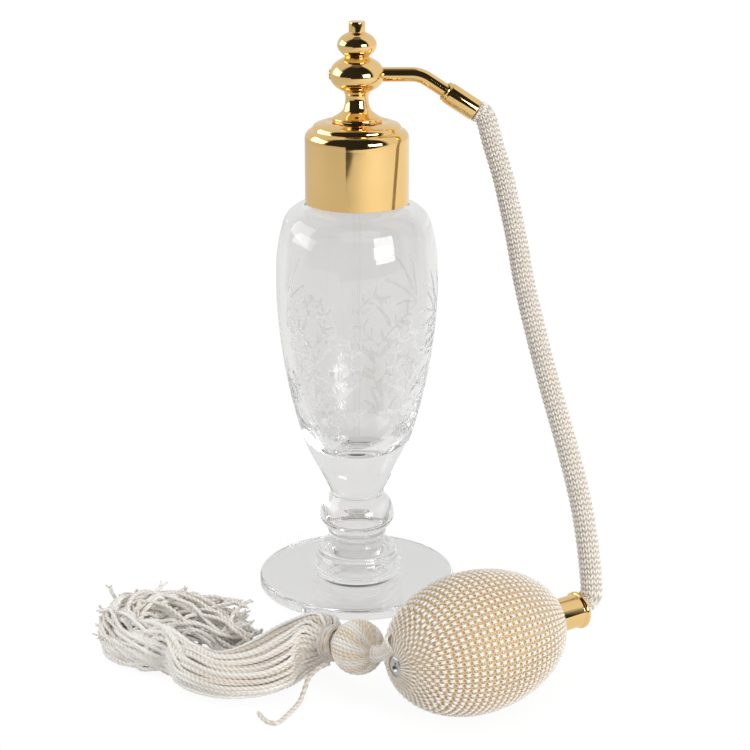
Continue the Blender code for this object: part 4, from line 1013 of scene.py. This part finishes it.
def skirt_spots(index, sections, pick):
    """One cord's path through the sections, round the heap and off at its tip, and its own phase."""
    share = ((index + 0.5) / SKIRT_CORDS) ** 0.4
    beat = pick.uniform(0.7, 1.3)
    shift = pick.uniform(0.0, TURN)
    spots = []
    for at, (middle, across, lift, half_width, half_height) in enumerate(sections):
        turn = index * GOLDEN_TURN + 0.16 * at
        side = share * cos(turn)
        rise = share * sin(turn)
        wide = side * (half_width - CORD_RADIUS) + 0.5 * sin(beat * at + shift)
        spots.append(middle + wide * across + rise * (half_height - CORD_RADIUS) * lift)
    lane = 0.5 - 0.5 * side + pick.uniform(-0.15, 0.15)
    stop = len(HEAP_OUTER)
    if index % 10 in (3, 8):
        stop = pick.choice((3, 4))
    elif index % 10 in (1, 5, 6, 9):
        stop = pick.choice((5, 6, 7))
    for at in range(stop):
        along = lane + 0.25 * sin(beat * (at + 1) + shift) - 0.25 * sin(shift)
        along = clamped(along, -0.05, 1.05)
        flat = Vector(HEAP_OUTER[at]).lerp(Vector(HEAP_INNER[at]), along)
        peak = 5.0 + 9.0 * sin(pi * clamped(0.12 + 0.7 * along))
        level = 0.5 + 0.4 * rise + 0.25 * sin(1.6 * beat * at + 2.0 * shift)
        spots.append(Vector((flat.x, flat.y, 1.0 + peak * clamped(level))))
    ahead = (spots[-1] - spots[-2]).normalized()
    veer = Vector((-ahead.y, ahead.x, 0.0)) * pick.uniform(-0.9, 0.9)
    tip = spots[-1] + pick.uniform(2.5, 6.0) * (ahead + veer)
    tip.z = max(1.0, spots[-1].z + pick.uniform(-2.0, 3.5))
    return spots + [tip], shift


def make_skirt(materials):
    """The tassel's cords: a bundle that sweeps round on the table and ends in a loose curled heap."""
    pick = random.Random(SKIRT_SEED)
    sections = skirt_sections()
    cords = Bundle()
    for index in range(SKIRT_CORDS):
        spots, shift = skirt_spots(index, sections, pick)
        line = even_points(spots, CORD_SPACING)
        travel = np.arange(len(line)) * CORD_SPACING
        # Past the sweep a cord waves loosely, and it crimps towards its end
        loose = np.clip((travel - 40.0) / 12.0, 0.0, 1.0)
        crimp = np.clip((travel - travel[-1] + 28.0) / 10.0, 0.0, 1.0)
        line[:, 0] += 0.25 * loose * np.sin(travel / 2.1 + 3.0 * shift)
        line[:, 0] += 0.08 * crimp * np.sin(travel / 0.7 + shift)
        line[:, 1] += 0.25 * loose * np.cos(travel / 2.4 + shift)
        line[:, 1] += 0.08 * crimp * np.cos(travel / 0.75 + 2.0 * shift)
        line[:, 2] += 0.1 * crimp * np.sin(travel / 0.8 + 2.0 * shift)
        line[:, 2] = np.maximum(line[:, 2], CORD_RADIUS + 0.1)
        thick = CORD_RADIUS * np.clip(0.55 + travel / 9.0, 0.55, 1.0)
        points, faces, crest = twisted_cord(line, thick, 1.5)
        tint = pick.uniform(0.45, 1.1)
        # Over each cord's own tint, ply crests get painted highlights and grooves painted shade, and the
        # loose heap is painted lighter than the sweep as painted light
        cords.add(points, faces, tint + 0.22 * crest + np.repeat(0.3 * loose - 0.12, CORD_SIDES))
        add_frays(cords, line, tint, pick)
    finish_piece(cords.finish("tassel_cords", materials["cord"]), "tassel", "cord", "tassel_skirt")


def make_tail(materials):
    """The loose end of the binding cord."""
    line = even_points(TAIL_ROUTE, CORD_SPACING)
    points, faces, crest = twisted_cord(line, TAIL_RADIUS, 1.9, 0.12, 9)
    tail = add_mesh("tassel_loose_end", points, faces, materials["cord"])
    # Ply crests get painted highlights and grooves painted shade
    mark(tail, "shade", 0.5 + 0.25 * crest)
    finish_piece(tail, "tassel", "cord", "tassel_tail")


def dress_inner_nodes(materials, nodes):
    """Finishes for the pieces whose solids stay as they are."""
    finishes = {
        "neck_ring": "brass", "collar_liner": "brass", "feed_tube": "brass", "hose_nipple": "brass",
        "neck_gasket": "seal", "valve_retainer": "steel", "intake_valve_ball": "steel",
    }
    for node, finish in finishes.items():
        mesh = nodes[node].data
        mesh.materials.clear()
        mesh.materials.append(materials[finish])
    tube = softened([(0.85, 47.0), (1.45, 47.0, 0.1), (1.45, 138.5, 0.1), (0.85, 138.5)], 3)
    add_turned(materials, "dip_pipe", tube, 40, "head", "clear_plastic", "dip_tube")


# Studio

def link_ramp(tree, azimuth, levels):
    """A grey level that follows the azimuth, from (degrees, level) pairs."""
    share = link_range(tree, azimuth, -pi, pi, 0.0, 1.0, "LINEAR")
    ramp = tree.nodes.new("ShaderNodeValToRGB")
    stops = ramp.color_ramp.elements
    for index, (degrees, level) in enumerate(levels):
        stop = stops[index] if index < 2 else stops.new(1.0)
        stop.position = 0.5 + degrees / 360.0
        stop.color = (level, level, level, 1.0)
    return fill_sockets(tree, ramp, {"Fac": share})["Color"]


def empty_tree(owner):
    """The cleared node tree of a material or world, with its light path and its coordinates."""
    owner.use_nodes = True
    tree = owner.node_tree
    tree.nodes.clear()
    return tree, add_node(tree, "ShaderNodeLightPath"), add_node(tree, "ShaderNodeTexCoord")


def make_floor():
    """A plain white table top that keeps a soft shadow, with a painted pool of light where polished
    surfaces mirror it and a painted shadow where the glass shows it.
    """
    material = bpy.data.materials.new("table_top")
    tree, path, coords = empty_tree(material)
    axes = add_node(tree, "ShaderNodeSeparateXYZ", {"Vector": coords["Object"]})
    through = link_math(tree, "MINIMUM", path["Transmission Depth"], 1.0)
    shine = path["Is Glossy Ray"]
    # Where polished surfaces mirror it, the table is a painted pool of light, brighter towards the
    # right-hand softbox
    mirrored = link_range(tree, axes["X"], -0.3, 0.3, 0.6, 0.92)
    across = link_math(tree, "MULTIPLY", axes["X"], axes["X"])
    deep = link_math(tree, "MULTIPLY", axes["Y"], axes["Y"])
    away = link_math(tree, "ADD", across, deep)
    open_floor = link_range(tree, away, 0.03, 0.2, 0.93, 0.99)
    # Seen through the glass, the table carries a painted shadow under the stem and near the foot's front
    # edge, standing in for the shade of the stem, the bulb and the tassel
    under = link_range(tree, away, 0.00005, 0.00012, 0.1, 0.73)
    shaded = link_range(tree, axes["Y"], -0.032, -0.018, 0.48, 0.73)
    under = link_math(tree, "MINIMUM", under, shaded)
    under = link_math(tree, "ADD", under, link_range(tree, away, 0.0015, 0.008, 0.0, 0.09))
    level = link_range(tree, shine, 0.0, 1.0, open_floor, mirrored)
    level = link_range(tree, through, 0.0, 1.0, level, under)
    seen = link_math(tree, "MAXIMUM", path["Is Camera Ray"], shine)
    seen = link_math(tree, "MAXIMUM", seen, through)
    glow = add_node(tree, "ShaderNodeEmission", {"Strength": level})["Emission"]
    pale = add_node(tree, "ShaderNodeBsdfDiffuse", {"Color": (0.1, 0.1, 0.1, 1.0)})["BSDF"]
    plain = add_node(tree, "ShaderNodeBsdfDiffuse", {"Color": (0.82, 0.82, 0.82, 1.0)})["BSDF"]
    both = add_node(tree, "ShaderNodeAddShader", {0: glow, 1: pale})["Shader"]
    surface = add_node(tree, "ShaderNodeMixShader", {0: seen, 1: plain, 2: both})["Shader"]
    add_node(tree, "ShaderNodeOutputMaterial", {"Surface": surface})
    corners = [(x, y, -FLOOR_DROP) for x, y in FLOOR_EDGE]
    add_mesh("table_top", corners, [tuple(range(len(corners)))], material)


def make_world():
    """White studio walls, with the unlit side of the room where the photographer stands."""
    world = bpy.data.worlds.new("studio")
    bpy.context.scene.world = world
    tree, path, coords = empty_tree(world)
    axes = add_node(tree, "ShaderNodeSeparateXYZ", {"Vector": coords["Generated"]})
    height = axes["Z"]
    azimuth = link_math(tree, "ARCTAN2", axes["X"], link_math(tree, "MULTIPLY", axes["Y"], -1.0))
    walls = link_ramp(tree, azimuth, WALLS)
    room = link_range(tree, height, sin(radians(72.0)), sin(radians(80.0)), walls, 0.15)
    backlit = link_ramp(tree, azimuth, BACKLIT)
    backlit = link_math(tree, "MULTIPLY", backlit, link_range(tree, height, 0.2, 0.9, 1.0, 0.65))
    through = link_math(tree, "MINIMUM", path["Transmission Depth"], 1.0)
    level = link_range(tree, path["Is Glossy Ray"], 0.0, 1.0, ROOM_LIGHT, room)
    level = link_range(tree, through, 0.0, 1.0, level, backlit)
    level = link_range(tree, path["Is Camera Ray"], 0.0, 1.0, level, 1.0)
    light = add_node(tree, "ShaderNodeBackground", {"Color": (1.0, 1.0, 1.0, 1.0), "Strength": level})
    add_node(tree, "ShaderNodeOutputWorld", {"Surface": light["Background"]})


def add_softbox(name, azimuth, elevation, distance, width, height, power, mirrored):
    """A soft rectangular lamp that looks at the object."""
    turn = radians(azimuth)
    rise = radians(elevation)
    away = Vector((sin(turn) * cos(rise), -cos(turn) * cos(rise), sin(rise)))
    lamp = bpy.data.lights.new(name, "AREA")
    lamp.shape = "RECTANGLE"
    lamp.size = width
    lamp.size_y = height
    lamp.energy = power
    holder = bpy.data.objects.new(name, lamp)
    holder.location = LAMP_TARGET + distance * away
    holder.rotation_euler = away.to_track_quat("Z", "Y").to_euler()
    holder.visible_camera = False
    holder.visible_glossy = mirrored
    bpy.context.collection.objects.link(holder)


def make_camera():
    """The photograph's viewpoint."""
    lens = bpy.data.cameras.new("camera")
    lens.sensor_width = CAMERA_SENSOR
    lens.lens = CAMERA_LENS
    lens.shift_x = CAMERA_SHIFT
    lens.clip_start = 0.01
    camera = bpy.data.objects.new("camera", lens)
    camera.location = CAMERA_PLACE
    camera.rotation_euler = (CAMERA_TILT, 0.0, 0.0)
    bpy.context.collection.objects.link(camera)
    bpy.context.scene.camera = camera


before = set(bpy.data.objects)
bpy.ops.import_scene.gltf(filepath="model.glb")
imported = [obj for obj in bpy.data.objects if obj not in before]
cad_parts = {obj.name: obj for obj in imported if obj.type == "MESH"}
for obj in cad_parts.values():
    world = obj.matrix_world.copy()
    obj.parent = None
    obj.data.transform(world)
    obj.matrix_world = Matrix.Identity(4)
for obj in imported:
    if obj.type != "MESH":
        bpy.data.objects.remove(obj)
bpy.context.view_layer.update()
make_camera()
finishes = make_materials()
make_hose(finishes)
make_tail(finishes)
make_bottle(finishes)
make_collar(finishes)
make_head(finishes)
make_arm(finishes)
make_bulb(finishes)
make_valve(finishes)
make_tassel_neck(finishes)
make_tassel_head(finishes)
make_binding(finishes)
make_skirt(finishes)
dress_inner_nodes(finishes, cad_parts)
make_floor()
make_world()
for softbox in SOFTBOXES:
    add_softbox(*softbox)
bpy.context.scene.view_settings.view_transform = "Standard"
bpy.context.scene.cycles.max_bounces = 32
bpy.context.scene.cycles.glossy_bounces = 24
bpy.context.scene.cycles.transmission_bounces = 24
